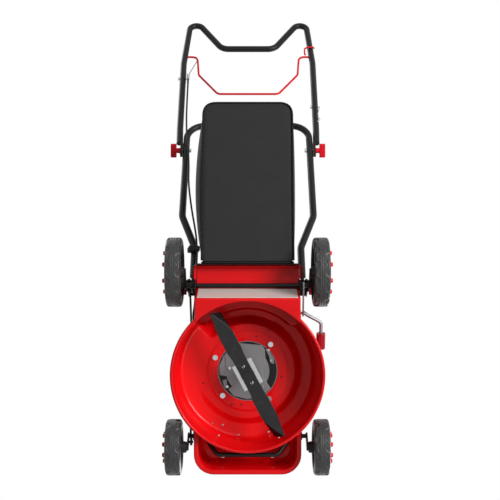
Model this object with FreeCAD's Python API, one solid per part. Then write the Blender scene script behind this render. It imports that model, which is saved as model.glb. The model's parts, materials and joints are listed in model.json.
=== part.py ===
"""Push lawn mower: a pressed steel deck with a petrol engine, bar blade, four wheels, folding handle and bag.

Millimetres, +Z up. While the pieces are made, X = 0 is the middle plane (+X is the operator's left),
Y = 0 is the blade axis (+Y is towards the operator) and Z = 0 is the ground. At the end everything
moves along Y, so that the origin is under the middle of the whole mower.
"""
import FreeCAD, Part
import math
import os

os.makedirs("parts", exist_ok=True)
V = FreeCAD.Vector
X_AXIS = V(1, 0, 0)
Y_AXIS = V(0, 1, 0)
Z_AXIS = V(0, 0, 1)

# ---------------------------------------------------------------- driving dimensions
fit = 0.05                # radial clearance of a shaft in its bearing
gap = 0.3                 # clearance between pieces that move past each other

# deck
wall = 2.0
rim_z = 45.0
skirt_r = 205.0           # inside radius of the skirt at the rim
crown_r = skirt_r - 15.0  # inside radius at the top of the channel
crown_z = 220.0
bead_r = 4.5
plate_z = 152.0           # underside of the plate that carries the engine
step_low_r = 139.0
step_high_r = 151.0
engine_hole_r = 85.0
bolt_circle_r = 100.0
engine_bolt_angles = (130.8, 22.4, -44.5, -127.1)
channel_heights = ((-40, 153.0), (0, 154.0), (90, 166.0), (180, 200.0), (240, 220.0))

# rear chute
chute_half = 146.0
chute_start_y = 121.0     # where the chute's sides leave the round chamber
chute_foot_y = skirt_r + 8.0      # where the bottom plate turns up, behind the bead
chute_rise_y = chute_foot_y + 22.0
chute_rise_z = 128.0
mouth_y = chute_foot_y + 91.0
mouth_z = 140.0
chute_side_z = 236.0
door_hinge_y = chute_foot_y + 37.0
door_hinge_z = 243.0
door_ear_x = 133.0        # inner face of the ears that hold the door's rod
door_half = 148.5
bolt_r = 4.0

# wheels and axles
rear_wheel_r = 97.5
front_wheel_r = 77.5
track_half = skirt_r - 1.0                 # middle plane to the middle of a tyre
tyre_width = 44.0
tyre_depth = 22.0
tread_depth = 4.0
rear_lugs = 36
front_lugs = 28
axle_r = 6.0
rear_axle_y = chute_foot_y + 32.0
rear_axle_z = 121.5
rear_wheel_y = rear_axle_y + 38.0
front_axle_y = 26.0 - skirt_r
front_axle_z = 116.0
front_wheel_y = front_axle_y - 23.0
front_bar_y = -(skirt_r + 19.0)            # the front axle's bar passes in front of the bead
front_bar_z = 80.0

# brackets that carry the handle and the rear axle
bracket_inner = chute_half     # the inner plate lies on the side of the chute
bracket_outer = 169.0
bracket_plate = 3.0

# front apron
apron_half = 136.0
link_inner = 154.5            # inner face of the link rod's front eye
apron_front = skirt_r + 59.0
apron_corner = 32.0
apron_rim_z = 70.0
apron_flange = 12.0
apron_back_z = 166.0
apron_nose_z = 142.0

# handle: distances along the slope are measured from the lower pivot
handle_slope = math.degrees(math.atan(0.8))
lower_pivot_y = chute_foot_y + 23.0
lower_pivot_z = 230.0
tube_r = 11.0
tube_wall = 1.5
flat_end = 7.9            # thickness of the upper tube's flattened ends
lower_leg_x = 161.0
upper_leg_x = 204.6
knob_start = upper_leg_x + tube_r + 0.5 + flat_end + gap      # inner face of the upper knobs
joint_t = 561.0           # distance from the lower to the upper pivot
arch_t = joint_t + 117.0
bail_t = joint_t + 475.0
grip_t = joint_t + 520.0
horn_t = joint_t + 709.0
upper_tube_x = upper_leg_x + 2 * tube_r + 5.4      # where the upper tube is widest
upper_tube_t = joint_t + 439.0
rope_guide_t = joint_t + 210.0
cable_bracket_t = joint_t + 356.0
bail_r = 3.0
bail_end_x = upper_tube_x + tube_r + 3.0
bail_leg_x = 184.0
cable_r = 3.0

# blade and engine
blade_room = 5.0          # blade tip to the skirt
blade_length = 2 * (skirt_r - blade_room)
blade_width = 43.0
blade_z = 68.0
blade_drop = 8.0
blade_turn = 62.0         # direction of the blade, from +X towards +Y
shaft_r = 12.5
block_r = 88.0
housing_r = 98.0
housing_z = 247.0
housing_top_z = 312.0

# bag
bag_half = 133.0
bag_wall = 3.0
bag_rear_y = 778.0


# ---------------------------------------------------------------- plain helpers
def block(x0, x1, y0, y1, z0, z1):
    x0, x1 = sorted((x0, x1))
    return Part.makeBox(x1 - x0, y1 - y0, z1 - z0, V(x0, y0, z0))


def rod(start, end, radius):
    start, end = V(*start), V(*end)
    return Part.makeCylinder(radius, (end - start).Length, start, end - start)


def rod_x(y, z, radius, x0, x1):
    x0, x1 = sorted((x0, x1))
    return Part.makeCylinder(radius, x1 - x0, V(x0, y, z), X_AXIS)


def rod_z(x, y, radius, z0, z1):
    return Part.makeCylinder(radius, z1 - z0, V(x, y, z0), Z_AXIS)


def ring_x(y, z, inner, outer, x0, x1):
    x0, x1 = sorted((x0, x1))
    return rod_x(y, z, outer, x0, x1).cut(rod_x(y, z, inner, x0 - 1, x1 + 1))


def polygon(points):
    return Part.Face(Part.makePolygon([V(*p) for p in list(points) + [points[0]]]))


def prism_x(points, x0, x1):
    """Solid with the outline points (y, z), from x0 to x1."""
    return polygon([(x0, y, z) for y, z in points]).extrude(V(x1 - x0, 0, 0))


def prism_z(points, z0, z1):
    """Solid with the outline points (x, y), from z0 to z1."""
    return polygon([(x, y, z0) for x, y in points]).extrude(V(0, 0, z1 - z0))


def fuse(first, *others):
    return first.multiFuse(list(others)).removeSplitter()


def turned_x(profile, y, z, side):
    """Solid of revolution about an axle; profile points are (distance from the middle plane, radius)."""
    face = polygon([(side * x, y, z + r) for x, r in profile])
    return face.revolve(V(0, y, z), X_AXIS, 360)


def turned_z(profile):
    """Solid of revolution about the blade axis; profile points are (radius, z)."""
    return polygon([(r, 0, z) for r, z in profile]).revolve(V(0, 0, 0), Z_AXIS, 360)


def rounded(shape, radius, direction=None):
    """Fillet the edges of a box, or only those that run along one direction."""
    edges = []
    for edge in shape.Edges:
        along = edge.tangentAt(edge.FirstParameter)
        if direction is None or abs(abs(along.dot(direction)) - 1) < 1e-6:
            edges.append(edge)
    return shape.makeFillet(radius, edges)


def bent_path(points, bends):
    """Straight runs joined by tangent arcs; bends holds one radius, or one for each inner point."""
    points = [V(*p) for p in points]
    if not isinstance(bends, (list, tuple)):
        bends = [bends] * (len(points) - 2)
    edges = []
    here = points[0]
    for before, corner, after, radius in zip(points, points[1:], points[2:], bends):
        arrive = (corner - before).normalize()
        leave = (after - corner).normalize()
        half = arrive.getAngle(leave) / 2
        reach = radius * math.tan(half)
        start = corner - arrive * reach
        end = corner + leave * reach
        inward = (leave - arrive).normalize()
        middle = corner + inward * (radius / math.cos(half) - radius)
        edges.append(Part.LineSegment(here, start).toShape())
        edges.append(Part.Arc(start, middle, end).toShape())
        here = end
    edges.append(Part.LineSegment(here, points[-1]).toShape())
    return Part.Wire(edges)


def bar(points, bends, radius):
    """Round bar along a bent path."""
    path = bent_path(points, bends)
    start, second = V(*points[0]), V(*points[1])
    circle = Part.Wire([Part.Circle(start, second - start, radius).toShape()])
    return path.makePipe(Part.Face(circle))


def both_sides(half_points):
    """A path that is the same on both sides: given from one end to the middle, on the left."""
    return list(half_points) + [(-x, y, z) for x, y, z in reversed(half_points)]


def mirrored(shape):
    return shape.mirror(V(0, 0, 0), X_AXIS)


def pair(shape):
    return Part.makeCompound([shape, mirrored(shape)])


def on_handle(x, t, h=0.0):
    """Point at x, at distance t up the slope from the lower pivot, h above the handle's plane."""
    a = math.radians(handle_slope)
    return (x, lower_pivot_y + t * math.cos(a) - h * math.sin(a),
            lower_pivot_z + t * math.sin(a) + h * math.cos(a))


def handle_block(x0, x1, t0, t1, h0, h1):
    corners = [on_handle(0, t, h)[1:] for t, h in ((t0, h0), (t1, h0), (t1, h1), (t0, h1))]
    return prism_x(corners, x0, x1)


def handle_rod(t, radius, x0, x1):
    x, y, z = on_handle(0, t)
    return rod_x(y, z, radius, x0, x1)


nodes = {}


def save(name, shape):
    nodes[name] = shape


# ---------------------------------------------------------------- deck
def channel_height(angle):
    """Height of the channel's roof; the angle runs from the left side towards the front."""
    for (a0, z0), (a1, z1) in zip(channel_heights, channel_heights[1:]):
        if angle <= a1:
            return z0 + (z1 - z0) * (angle - a0) / (a1 - a0)
    return channel_heights[-1][1]


def above_channel(lift):
    """Everything above the climbing roof of the channel, from the left round the front to the rear."""
    sections = []
    steps = 14
    end_wall = 0 if lift else 1       # degrees that the upright wall at the low end is thick
    first, last = channel_heights[0][0] - end_wall, channel_heights[-1][0]
    for i in range(steps + 1):
        angle = first + (last - first) * i / steps
        a = math.radians(-angle)
        low = channel_height(angle) + lift
        corners = [V(r * math.cos(a), r * math.sin(a), z)
                   for r, z in ((110, low), (250, low), (250, 300), (110, 300))]
        sections.append(Part.makePolygon(corners + [corners[0]]))
    return Part.makeLoft(sections, True, True)


def chamber(inset):
    """The round chamber's volume: inset 0 is the inside of the sheet, negative is the outside."""
    top = crown_z - inset
    slope = (skirt_r - crown_r) / (crown_z - rim_z)
    r_low = skirt_r - inset
    r_top = r_low - slope * (top - rim_z)
    cone = Part.makeCone(r_low, r_top, top - rim_z, V(0, 0, rim_z))
    return cone.cut(above_channel(-inset))


def engine_seat(thick):
    """The round boss that carries the engine: the volume above its plate and inside its step."""
    rise = 260.0 - plate_z
    lean = (step_high_r - step_low_r) / (crown_z - plate_z)
    r_low = step_low_r - thick
    return Part.makeCone(r_low, r_low + lean * (rise - thick), rise - thick, V(0, 0, plate_z + thick))


def chute_outline(inset):
    w = inset
    return [(chute_start_y + w, rim_z + w), (chute_foot_y - 0.8 * w, rim_z + w),
            (chute_rise_y - 0.8 * w, chute_rise_z + w), (mouth_y + w, mouth_z + w),
            (mouth_y + w, chute_side_z + w), (door_hinge_y + 2 + w, chute_side_z + w),
            (door_hinge_y - 4 + w if not w else door_hinge_y + 2 + w, crown_z + wall - w),
            (chute_start_y + w, crown_z + wall - w)]


def make_deck():
    outside = chamber(-wall).fuse(prism_x(chute_outline(0), -chute_half, chute_half))
    outside = outside.cut(engine_seat(wall))
    inside = chamber(0).fuse(Part.makeCylinder(skirt_r, 4, V(0, 0, rim_z - 3)))
    half = chute_half - wall
    inside = inside.fuse(prism_x(chute_outline(wall), -half, half)).cut(engine_seat(0))
    bead = Part.makeTorus(skirt_r + wall + 0.5 * bead_r, bead_r, V(0, 0, rim_z + bead_r))
    bead = bead.cut(block(-chute_half, chute_half, 60, mouth_y, 0, 80))
    shell = outside.cut(inside)
    shell = shell.fuse(bead.cut(Part.makeCone(skirt_r, crown_r, crown_z - rim_z, V(0, 0, rim_z))))
    shell = shell.cut(rod_z(0, 0, engine_hole_r, plate_z - 10, plate_z + 10))
    for angle in engine_bolt_angles:
        a = math.radians(angle)
        hole = rod_z(bolt_circle_r * math.cos(a), bolt_circle_r * math.sin(a),
                     bolt_r + gap, plate_z - 10, plate_z + 10)
        shell = shell.cut(hole)
    for x, y in ((127, -36), (-97, -17), (17, -96)):
        shell = shell.cut(rod_z(x, y, 3, plate_z - 10, plate_z + 10))
    ears = []
    for x in (-door_ear_x - 4, door_ear_x):
        ear = block(x, x + 4, door_hinge_y - 8, door_hinge_y + 5, crown_z + 1, door_hinge_z)
        ears.append(ear.fuse(rod_x(door_hinge_y, door_hinge_z, 5, x, x + 4)))
    shell = shell.multiFuse(ears)
    shell = shell.cut(rod_x(door_hinge_y, door_hinge_z, 2.5 + fit, -140, 140))
    save("deck_shell", shell.removeSplitter())
    return outside.fuse(bead)


def apron_outline(grow):
    half = apron_half + grow
    front = apron_front + grow
    c = apron_corner
    return [(-half, -120), (-half, c - front), (c - half, -front),
            (half - c, -front), (half, c - front), (half, -120)]


def make_apron(deck):
    def body(inset, floor):
        plan = prism_z(apron_outline(-inset), floor, 200)
        side = [(-120, floor), (-apron_front - 20, floor), (-apron_front - 20, apron_nose_z - inset),
                (-120, apron_back_z + 3 - inset)]
        return plan.common(prism_x(side, -200, 200))

    flange = prism_z(apron_outline(apron_flange), apron_rim_z, apron_rim_z + wall)
    shell = body(0, apron_rim_z).fuse(flange)
    shell = shell.cut(body(wall, apron_rim_z - 10)).cut(deck)
    shell = shell.cut(Part.makeCone(skirt_r, crown_r, crown_z - rim_z, V(0, 0, rim_z)))
    shell = shell.cut(rod_x(front_axle_y, front_axle_z, axle_r + 1.5, -170, 170))
    keep = max(shell.Solids, key=lambda s: s.Volume)
    save("front_apron", keep)


def make_deflector():
    """Bright strip on the steep part of the chute's floor."""
    foot, top = V(0, chute_foot_y, rim_z), V(0, chute_rise_y, chute_rise_z)
    up = (top - foot).normalize()
    out = V(0, up.z, -up.y)
    corners = [foot + up * 2, top - up * 2, top - up * 2 + out * 1.5, foot + up * 2 + out * 1.5]
    save("rear_deflector", prism_x([(p.y, p.z) for p in corners], -139, 139))




def make_brackets():
    outline = [(15, 104), (47, 104), (49, 150), (48, 244), (37, 252), (11, 252), (-4, 240), (-4, 198),
               (13, 150)]
    outline = [(chute_foot_y + y, z) for y, z in outline]
    inner = prism_x(outline, bracket_inner, bracket_inner + bracket_plate)
    outer = prism_x(outline, bracket_outer, bracket_outer + bracket_plate)
    web = block(bracket_inner + bracket_plate, bracket_outer, chute_foot_y - 1, chute_foot_y + 45, 193, 196)
    shape = fuse(inner, outer, web)
    shape = shape.cut(rod_x(rear_axle_y, rear_axle_z, 10, 140, 160))
    shape = shape.cut(rod_x(rear_axle_y, rear_axle_z, axle_r + gap, 160, 180))
    shape = shape.cut(rod_x(lower_pivot_y, lower_pivot_z, bolt_r, 140, 180))
    save("handle_brackets", pair(shape))


def make_bushes():
    rear = ring_x(rear_axle_y, rear_axle_z, axle_r + fit, 10, bracket_inner, 155)
    front = ring_x(front_axle_y, front_axle_z, axle_r + fit, 11, apron_half, link_inner - 1)
    save("axle_bushes", Part.makeCompound([rear, mirrored(rear), front, mirrored(front)]))


# ---------------------------------------------------------------- height adjustment and axles
lever_pin = (rear_axle_y - 80.0, 150.0)
link_pin_rear = (rear_axle_y - 14.0, 155.0)
lever_x = track_half + 6.0           # the lever's handle, outside the skirt
open_pivot = 3.2                     # clearance at the link rod's front eye, where the linkage is open
link_share = 24.0 / 45.0             # place of the front link pin along the front crank
link_pin_r = 3.5


def arm(start, end, width, x0, x1):
    """Flat bar with round ends, from one (y, z) to another."""
    a, b = V(0, *start), V(0, *end)
    along = (b - a).normalize()
    across = V(0, -along.z, along.y) * (width / 2)
    corners = [a + across, b + across, b - across, a - across]
    strip = prism_x([(p.y, p.z) for p in corners], x0, x1)
    return fuse(strip, rod_x(a.y, a.z, width / 2, x0, x1), rod_x(b.y, b.z, width / 2, x0, x1))


def stub(y, z, x0):
    """Axle stub with its lock nut, on the left."""
    shaft = rod_x(y, z, axle_r, x0, track_half + 16)
    return shaft.fuse(rod_x(y, z, 9.5, track_half + 12, track_half + 16.5))


def front_link_pin():
    return (front_axle_y + (front_wheel_y - front_axle_y) * link_share,
            front_axle_z + (front_wheel_r - front_axle_z) * link_share)


def make_rear_axle():
    centre = (rear_axle_y, rear_axle_z)
    wheel = (rear_wheel_y, rear_wheel_r)
    pieces = [rod_x(*centre, axle_r, -176, 176)]
    crank = arm(centre, wheel, 22, 173, 177.5).fuse(stub(*wheel, 173))
    pieces += [crank, mirrored(crank)]
    pieces.append(arm(centre, link_pin_rear, 18, 156, 161))
    pieces.append(rod_x(*link_pin_rear, bolt_r, 156, 168.5))
    save("rear_axle", fuse(*pieces))


def make_height_lever():
    centre = (rear_axle_y, rear_axle_z)
    plate = arm(centre, lever_pin, 20, -160, -156).cut(rod_x(*centre, axle_r, -180, -140))
    pin = rod_x(*lever_pin, 4, -160, -150.3)
    tip = (-lever_x, rear_axle_y - 139, 166)
    shank = bar([(-158, rear_axle_y - 77, 149), (-172, rear_axle_y - 87, 153),
                 (-lever_x, rear_axle_y - 107, 158), tip], [14, 14], 5)
    save("height_lever", fuse(plate, pin, shank))
    end = V(-lever_x, rear_axle_y - 183, 177)
    along = (end - V(*tip)).normalize()
    grip = Part.makeCylinder(13, 46, V(*tip), along)
    for i in range(10):
        a = math.radians(36 * i)
        side = V(1, 0, 0) * math.cos(a) + along.cross(V(1, 0, 0)) * math.sin(a)
        grip = grip.cut(Part.makeCylinder(2, 34, V(*tip) + along * 6 + side * 14, along))
    save("lever_grip", grip)


def make_height_sector():
    """Fixed plate with a notch for each cutting height, on the right side of the chute."""
    centre = V(0, rear_axle_y, rear_axle_z)
    reach = math.hypot(rear_axle_y - lever_pin[0], lever_pin[1] - rear_axle_z)
    rest = math.degrees(math.atan2(lever_pin[1] - rear_axle_z, lever_pin[0] - rear_axle_y))
    outline = []
    for i in range(13):
        a = math.radians(rest - 30 + 5 * i)
        outline.append((centre.y + (reach + 11) * math.cos(a), centre.z + (reach + 11) * math.sin(a)))
    for i in range(12, -1, -1):
        a = math.radians(rest - 30 + 5 * i)
        outline.append((centre.y + (reach - 16) * math.cos(a), centre.z + (reach - 16) * math.sin(a)))
    plate = prism_x(outline, -150, -chute_half)
    for i in range(6):
        a = math.radians(rest - 18 + 5 * i + 3)
        y = centre.y + reach * math.cos(a)
        z = centre.z + reach * math.sin(a)
        plate = plate.cut(rod_x(y, z, 4.5, -152, -140))
    save("height_sector", plate)


def make_front_axle():
    centre = (front_axle_y, front_axle_z)
    wheel = (front_wheel_y, front_wheel_r)
    half = [(166, *centre), (122, *centre), (84, front_bar_y, front_bar_z)]
    pieces = [bar(both_sides(half), [16, 24, 24, 16], axle_r)]
    crank = arm(centre, wheel, 20, 163.5, 168.5).fuse(stub(*wheel, 163.5))
    pieces += [crank, mirrored(crank), rod_x(*front_link_pin(), link_pin_r, 152, 164)]
    save("front_axle", fuse(*pieces))


def make_link_rod():
    y0, z0 = link_pin_rear
    y1, z1 = front_link_pin()
    eye0 = ring_x(y0, z0, bolt_r + fit, 8, 162, 167)
    eye1 = ring_x(y1, z1, link_pin_r + open_pivot, link_pin_r + 6.5, link_inner, link_inner + 6)
    path = [(164.5, y0, z0), (163, chute_foot_y - 63, 176), (160, front_axle_y + 53, 176),
            (159, front_axle_y + 22, 93), (157.5, y1, z1)]
    rodding = bar(path, [60, 26, 16], 3)
    rodding = rodding.cut(rod_x(y0, z0, bolt_r + fit, 150, 180)).cut(rod_x(y1, z1, link_pin_r + open_pivot, 140, 170))
    save("link_rod", fuse(eye0, eye1, rodding))


# ---------------------------------------------------------------- wheels
def tread_outline(y, z, radius, lugs):
    """Lugs with flat tops; a flat is straight down, and the grooves are tread_depth deep."""
    points = []
    step = 2 * math.pi / lugs
    for i in range(lugs):
        middle = -math.pi / 2 + i * step
        for turn, r in ((-0.34, radius), (0.34, radius), (0.42, radius - tread_depth),
                        (0.58, radius - tread_depth)):
            a = middle + turn * step
            far = r / math.cos(0.34 * step) if r == radius else r
            points.append((y + far * math.cos(a), z + far * math.sin(a)))
    return points


def make_wheel(name, side, y, radius, lugs, boss_x):
    z = radius
    inner_x = track_half - tyre_width / 2
    outer_x = track_half + tyre_width / 2
    bead = radius - tyre_depth
    tread = prism_x(tread_outline(y, z, radius, lugs), side * inner_x, side * outer_x)
    crown = turned_x([(inner_x, bead), (inner_x, radius - 7), (inner_x + 7, radius + 2),
                      (outer_x - 7, radius + 2), (outer_x, radius - 7), (outer_x, bead)], y, z, side)
    save("tyre_" + name, tread.common(crown))

    bore = axle_r + fit
    disc = turned_x([(boss_x, bore), (boss_x, 15), (inner_x + 14, 19), (inner_x + 14, bead - 7),
                     (inner_x + 3, bead - 5), (inner_x + 3, bead), (outer_x - 3, bead),
                     (outer_x - 3, bead - 5), (inner_x + 21, bead - 7), (inner_x + 21, 17),
                     (track_half + 11.7, 17), (track_half + 11.7, bore)], y, z, side)
    for i in range(6):
        a = math.radians(60 * i)
        r = (bead + 12) / 2
        hole = rod_x(y + r * math.cos(a), z + r * math.sin(a), (bead - 30) / 4, side * 150, side * 230)
        disc = disc.cut(hole)
    save("wheel_disc_" + name, disc)

    cap_r = bead - 6
    seat = inner_x + 21
    skirt = turned_x([(seat, 18), (seat, 22), (outer_x - 3, 22), (outer_x - 3, 18)], y, z, side)
    plate = rod_x(y, z, cap_r, side * (outer_x - 4), side * (outer_x - 1))
    dome = Part.makeCone(cap_r, cap_r - 5, 3, V(side * (outer_x - 1), y, z), V(side, 0, 0))
    bumps = [skirt, dome]
    for i in range(8):
        a = math.radians(45 * i + 22.5)
        r = cap_r - 12
        place = (y + r * math.cos(a), z + r * math.sin(a))
        bumps.append(Part.makeCone(8, 5, 7, V(side * (outer_x + 1), *place), V(side, 0, 0)))
    save("hub_cap_" + name, fuse(plate, *bumps))


# ---------------------------------------------------------------- handle
cable_x = 153.5                     # the stop cable's place under the left lower leg
cable_h = -15.0
cable_foot = (cable_x, 26, -18)     # where the cable leaves the handle for the engine
cable_top = (209, joint_t + 144, -16)         # where the cable leaves the upper for the lower handle
guide_x = upper_tube_x - tube_r - 10          # the cable's place inside the upper left tube


def make_lower_handle():
    start_t = 38.0
    half = [on_handle(lower_leg_x, start_t), on_handle(lower_leg_x, 148.6), on_handle(upper_leg_x, 274),
            on_handle(upper_leg_x, arch_t)]
    bends = [60, 60, 60, 60, 60, 60]
    tube = bar(both_sides(half), bends, tube_r)
    tube = tube.cut(bar(both_sides(half), bends, tube_r - tube_wall))
    flat = handle_block(lower_leg_x - 5, lower_leg_x + 5, 0, start_t + 8, -tube_r, tube_r)
    flat = flat.fuse(handle_rod(0, tube_r, lower_leg_x - 5, lower_leg_x + 5))
    flat = flat.fuse(rod(on_handle(lower_leg_x, start_t), on_handle(lower_leg_x, start_t + 8), tube_r))
    tube = fuse(tube, flat, mirrored(flat))
    tube = tube.cut(handle_rod(0, bolt_r + fit, -200, 200))
    tube = tube.cut(handle_rod(joint_t, bolt_r, -230, 230))
    save("lower_handle", tube)


def make_upper_handle():
    start_x = upper_leg_x + 2 * tube_r + 1
    half = [on_handle(start_x, joint_t + 34), on_handle(start_x + 2, joint_t + 100),
            on_handle(upper_tube_x, upper_tube_t),
            on_handle(213, horn_t), on_handle(95, grip_t)]
    bends = [60, 80, 26, 42, 42, 26, 80, 60]
    path = both_sides(half)
    tube = bar(path, bends, tube_r).cut(bar(path, bends, tube_r - tube_wall))
    inner_x = upper_leg_x + tube_r + 0.5
    plug = Part.makeCylinder(tube_r, 10, V(*on_handle(start_x, joint_t + 34)),
                             V(*on_handle(2, 66)) - V(*on_handle(0, 0)))
    flat = handle_block(inner_x, inner_x + flat_end, joint_t - 14, joint_t + 36, -tube_r, tube_r)
    flat = flat.fuse(handle_rod(joint_t - 14, tube_r, inner_x, inner_x + flat_end)).cut(plug)
    flat = flat.cut(handle_rod(joint_t, bolt_r + fit, 180, 240))
    tube = fuse(tube, plug, mirrored(plug))
    tube = tube.cut(handle_rod(bail_t, bail_r + fit, -260, 260))
    tube = tube.cut(handle_rod(rope_guide_t, 3, -260, -200))
    tube = tube.cut(handle_rod(cable_bracket_t, 3, 200, 260))
    save("upper_handle", Part.makeCompound([tube, flat, mirrored(flat)]))


def make_bail():
    half = [on_handle(bail_end_x, bail_t), on_handle(bail_leg_x, bail_t),
            on_handle(bail_leg_x - 8, bail_t - 98), on_handle(106, bail_t - 196)]
    save("bail", bar(both_sides(half), [8, 30, 30, 30, 30, 8], bail_r))


def make_pivot_bolts():
    upper = handle_rod(joint_t, bolt_r, upper_leg_x - tube_r - 1, knob_start + 24.7).fuse(
        handle_rod(joint_t, 7, upper_leg_x - tube_r - 6, upper_leg_x - tube_r))
    save("joint_bolts", pair(upper))
    lower = handle_rod(0, bolt_r, 149, 190).fuse(handle_rod(0, 7, 149, 152.5))
    apron = []
    for x in (-70, 70):
        apron.append(rod_z(x, 24 - apron_front, 6, 141, 148).cut(nodes["front_apron"]).Solids[0])
    save("deck_bolts", Part.makeCompound([lower, mirrored(lower)] + apron))


def make_knob(name, side, t, x0, x1, bore_end):
    """Clamping knob: a round boss with two wings, on a threaded bolt."""
    y, z = on_handle(0, t)[1:]
    boss = rod_x(y, z, 9, side * x0, side * (x1 - 3))
    wide = x0 + 6
    hub = rod_x(y, z, 13, side * wide, side * (x1 - 2))
    wings = arm((y - 14, z), (y + 14, z), 19, side * wide, side * x1)
    knob = fuse(boss, hub, wings).cut(rod_x(y, z, bolt_r + fit, side * (x0 - 1), side * bore_end))
    save(name, knob)


def make_handle_fittings():
    """Cable bracket, rope guide and cable clip."""
    t = cable_bracket_t
    across = handle_rod(t, 3, guide_x + 3, upper_tube_x + tube_r + 5).fuse(
        handle_rod(t, 6, upper_tube_x + tube_r + 1, upper_tube_x + tube_r + 5))
    tab = handle_block(guide_x + 3, guide_x + 6, t - 22, t + 8, -22, 4)
    sleeve = rod(on_handle(guide_x, t - 20, -16), on_handle(guide_x, t, -16), 4.5)
    bore = rod(on_handle(guide_x, t - 27, -16), on_handle(guide_x, t + 8, -16), 1.5)
    save("cable_bracket", fuse(across, tab, sleeve).cut(bore))

    inside, outside = tube_r - upper_tube_x, -(upper_tube_x + tube_r)
    pin = handle_rod(rope_guide_t, 3, outside - 4, inside + 6)
    pin = pin.fuse(handle_rod(rope_guide_t, 6, inside + 2.5, inside + 7))
    x, y, z = on_handle(outside - 2, rope_guide_t)
    stem = rod((x, y, z), (x, y + 4, z - 43), 1.6)
    loop = Part.makeTorus(9.5, 2, V(x, y + 5, z - 52.5), X_AXIS)
    save("rope_guide", fuse(pin, stem, loop))

    band = rod(on_handle(lower_leg_x, 118), on_handle(lower_leg_x, 130), tube_r + 2)
    eye = rod(on_handle(cable_x, 118, cable_h), on_handle(cable_x, 130, cable_h), cable_r + 2)
    band = band.fuse(eye).cut(rod(on_handle(lower_leg_x, 110), on_handle(lower_leg_x, 140), tube_r + fit))
    save("cable_clip", band.cut(rod(on_handle(cable_x, 110, cable_h), on_handle(cable_x, 140, cable_h),
                                    cable_r + fit)))


def make_cables():
    """Stop cable from the bail to the engine, in three stretches that meet at the handle's pivots."""
    x, t, h = cable_top
    end_t = cable_bracket_t - 20
    upper = [on_handle(guide_x, end_t, -16), on_handle(guide_x, end_t - 107, -14), on_handle(x, t + gap, h)]
    wire = rod(on_handle(bail_leg_x - 1, bail_t - 24, -bail_r - 1.4),
               on_handle(guide_x, cable_bracket_t + 1, -16), 1.2)
    save("stop_cable_upper", Part.makeCompound([bar(upper, 300, cable_r), wire]))
    lower = [on_handle(*cable_top), on_handle(206, joint_t + 69, -20), on_handle(197, joint_t, -20),
             on_handle(191, joint_t - 91, -17), on_handle(190, 400, -17), on_handle(176, 292, -17),
             on_handle(158, 190, -17.5), on_handle(cable_x, 140, cable_h), on_handle(cable_x, 60, cable_h),
             on_handle(*cable_foot)]
    save("stop_cable_lower", bar(lower, [200, 250, 250, 200, 300, 300, 150, 80], cable_r))
    start = V(*on_handle(*cable_foot)) + V(0, -gap, -gap)
    engine = [tuple(start), (152.5, 240, 207), (152.5, 196, 205), (161, 146, 208), (150, 106, 206),
              (112, 80, 207), (68.1, 57.1, 209)]
    save("stop_cable_engine", bar(engine, [40, 60, 50, 40, 40], cable_r))


# ---------------------------------------------------------------- blade and engine
def make_blade():
    z = blade_z
    half = blade_length / 2
    low = z - blade_drop
    upper = [(-half, low + 4), (-62, low + 4), (-45, z + 4), (45, z + 4), (62, low + 4), (half, low + 4)]
    lower = [(half, low), (62, low), (45, z), (-45, z), (-62, low), (-half, low)]
    section = [(s, 0, zz) for s, zz in upper + lower]
    strip = polygon([(s, -60, zz) for s, _, zz in section]).extrude(V(0, 120, 0))
    w = blade_width / 2
    n = w - 3
    plan = [(-half, -w), (-80, -w), (-50, -n), (50, -n), (80, -w), (half, -w + 9), (half, w), (80, w),
            (50, n), (-50, n), (-80, w), (-half, w - 9)]
    blade = strip.common(prism_z(plan, 0, 200))
    for sign in (1, -1):
        notch = block(sign * 136, sign * (half + 1), 0, w + 1, low - 1, low + 6)
        notch = notch.cut(block(sign * 100, sign * 300, -1, w - 11, low - 2, low + 8))
        wing_outline = [(w - 11, low), (w - 11, low + 4), (w - 3, low + 15), (w, low + 15), (w, low + 11),
                        (w - 8, low)]
        wing = prism_x(wing_outline, sign * 136, sign * half)
        if sign < 0:
            notch = notch.mirror(V(0, 0, 0), Y_AXIS)
            wing = wing.mirror(V(0, 0, 0), Y_AXIS)
        blade = blade.cut(notch).fuse(wing)
    blade = blade.common(rod_z(0, 0, half, 0, 200))
    blade = blade.cut(rod_z(0, 0, 6, 0, 200)).removeSplitter()
    holder = block(-38, 38, -29, 29, z + 4, z + 12).fuse(rod_z(0, 0, 20, z + 4, z + 42))
    holder = holder.cut(rod_z(0, 0, shaft_r, z + 14, z + 60)).cut(rod_z(0, 0, 6, 0, 200))
    washer = rod_z(0, 0, 19, z - 4, z)
    hexagon = [(11 * math.cos(math.radians(60 * i)), 11 * math.sin(math.radians(60 * i)))
               for i in range(6)]
    bolt = fuse(washer, prism_z(hexagon, z - 12, z - 4), rod_z(0, 0, 6, z - 4, z + 14))
    for name, shape in (("blade", blade), ("blade_holder", holder), ("blade_bolt", bolt)):
        turned = shape.copy()
        turned.rotate(V(0, 0, 0), Z_AXIS, blade_turn)
        save(name, turned)
    save("crankshaft", rod_z(0, 0, shaft_r, z + 14, housing_top_z - 14))


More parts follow.
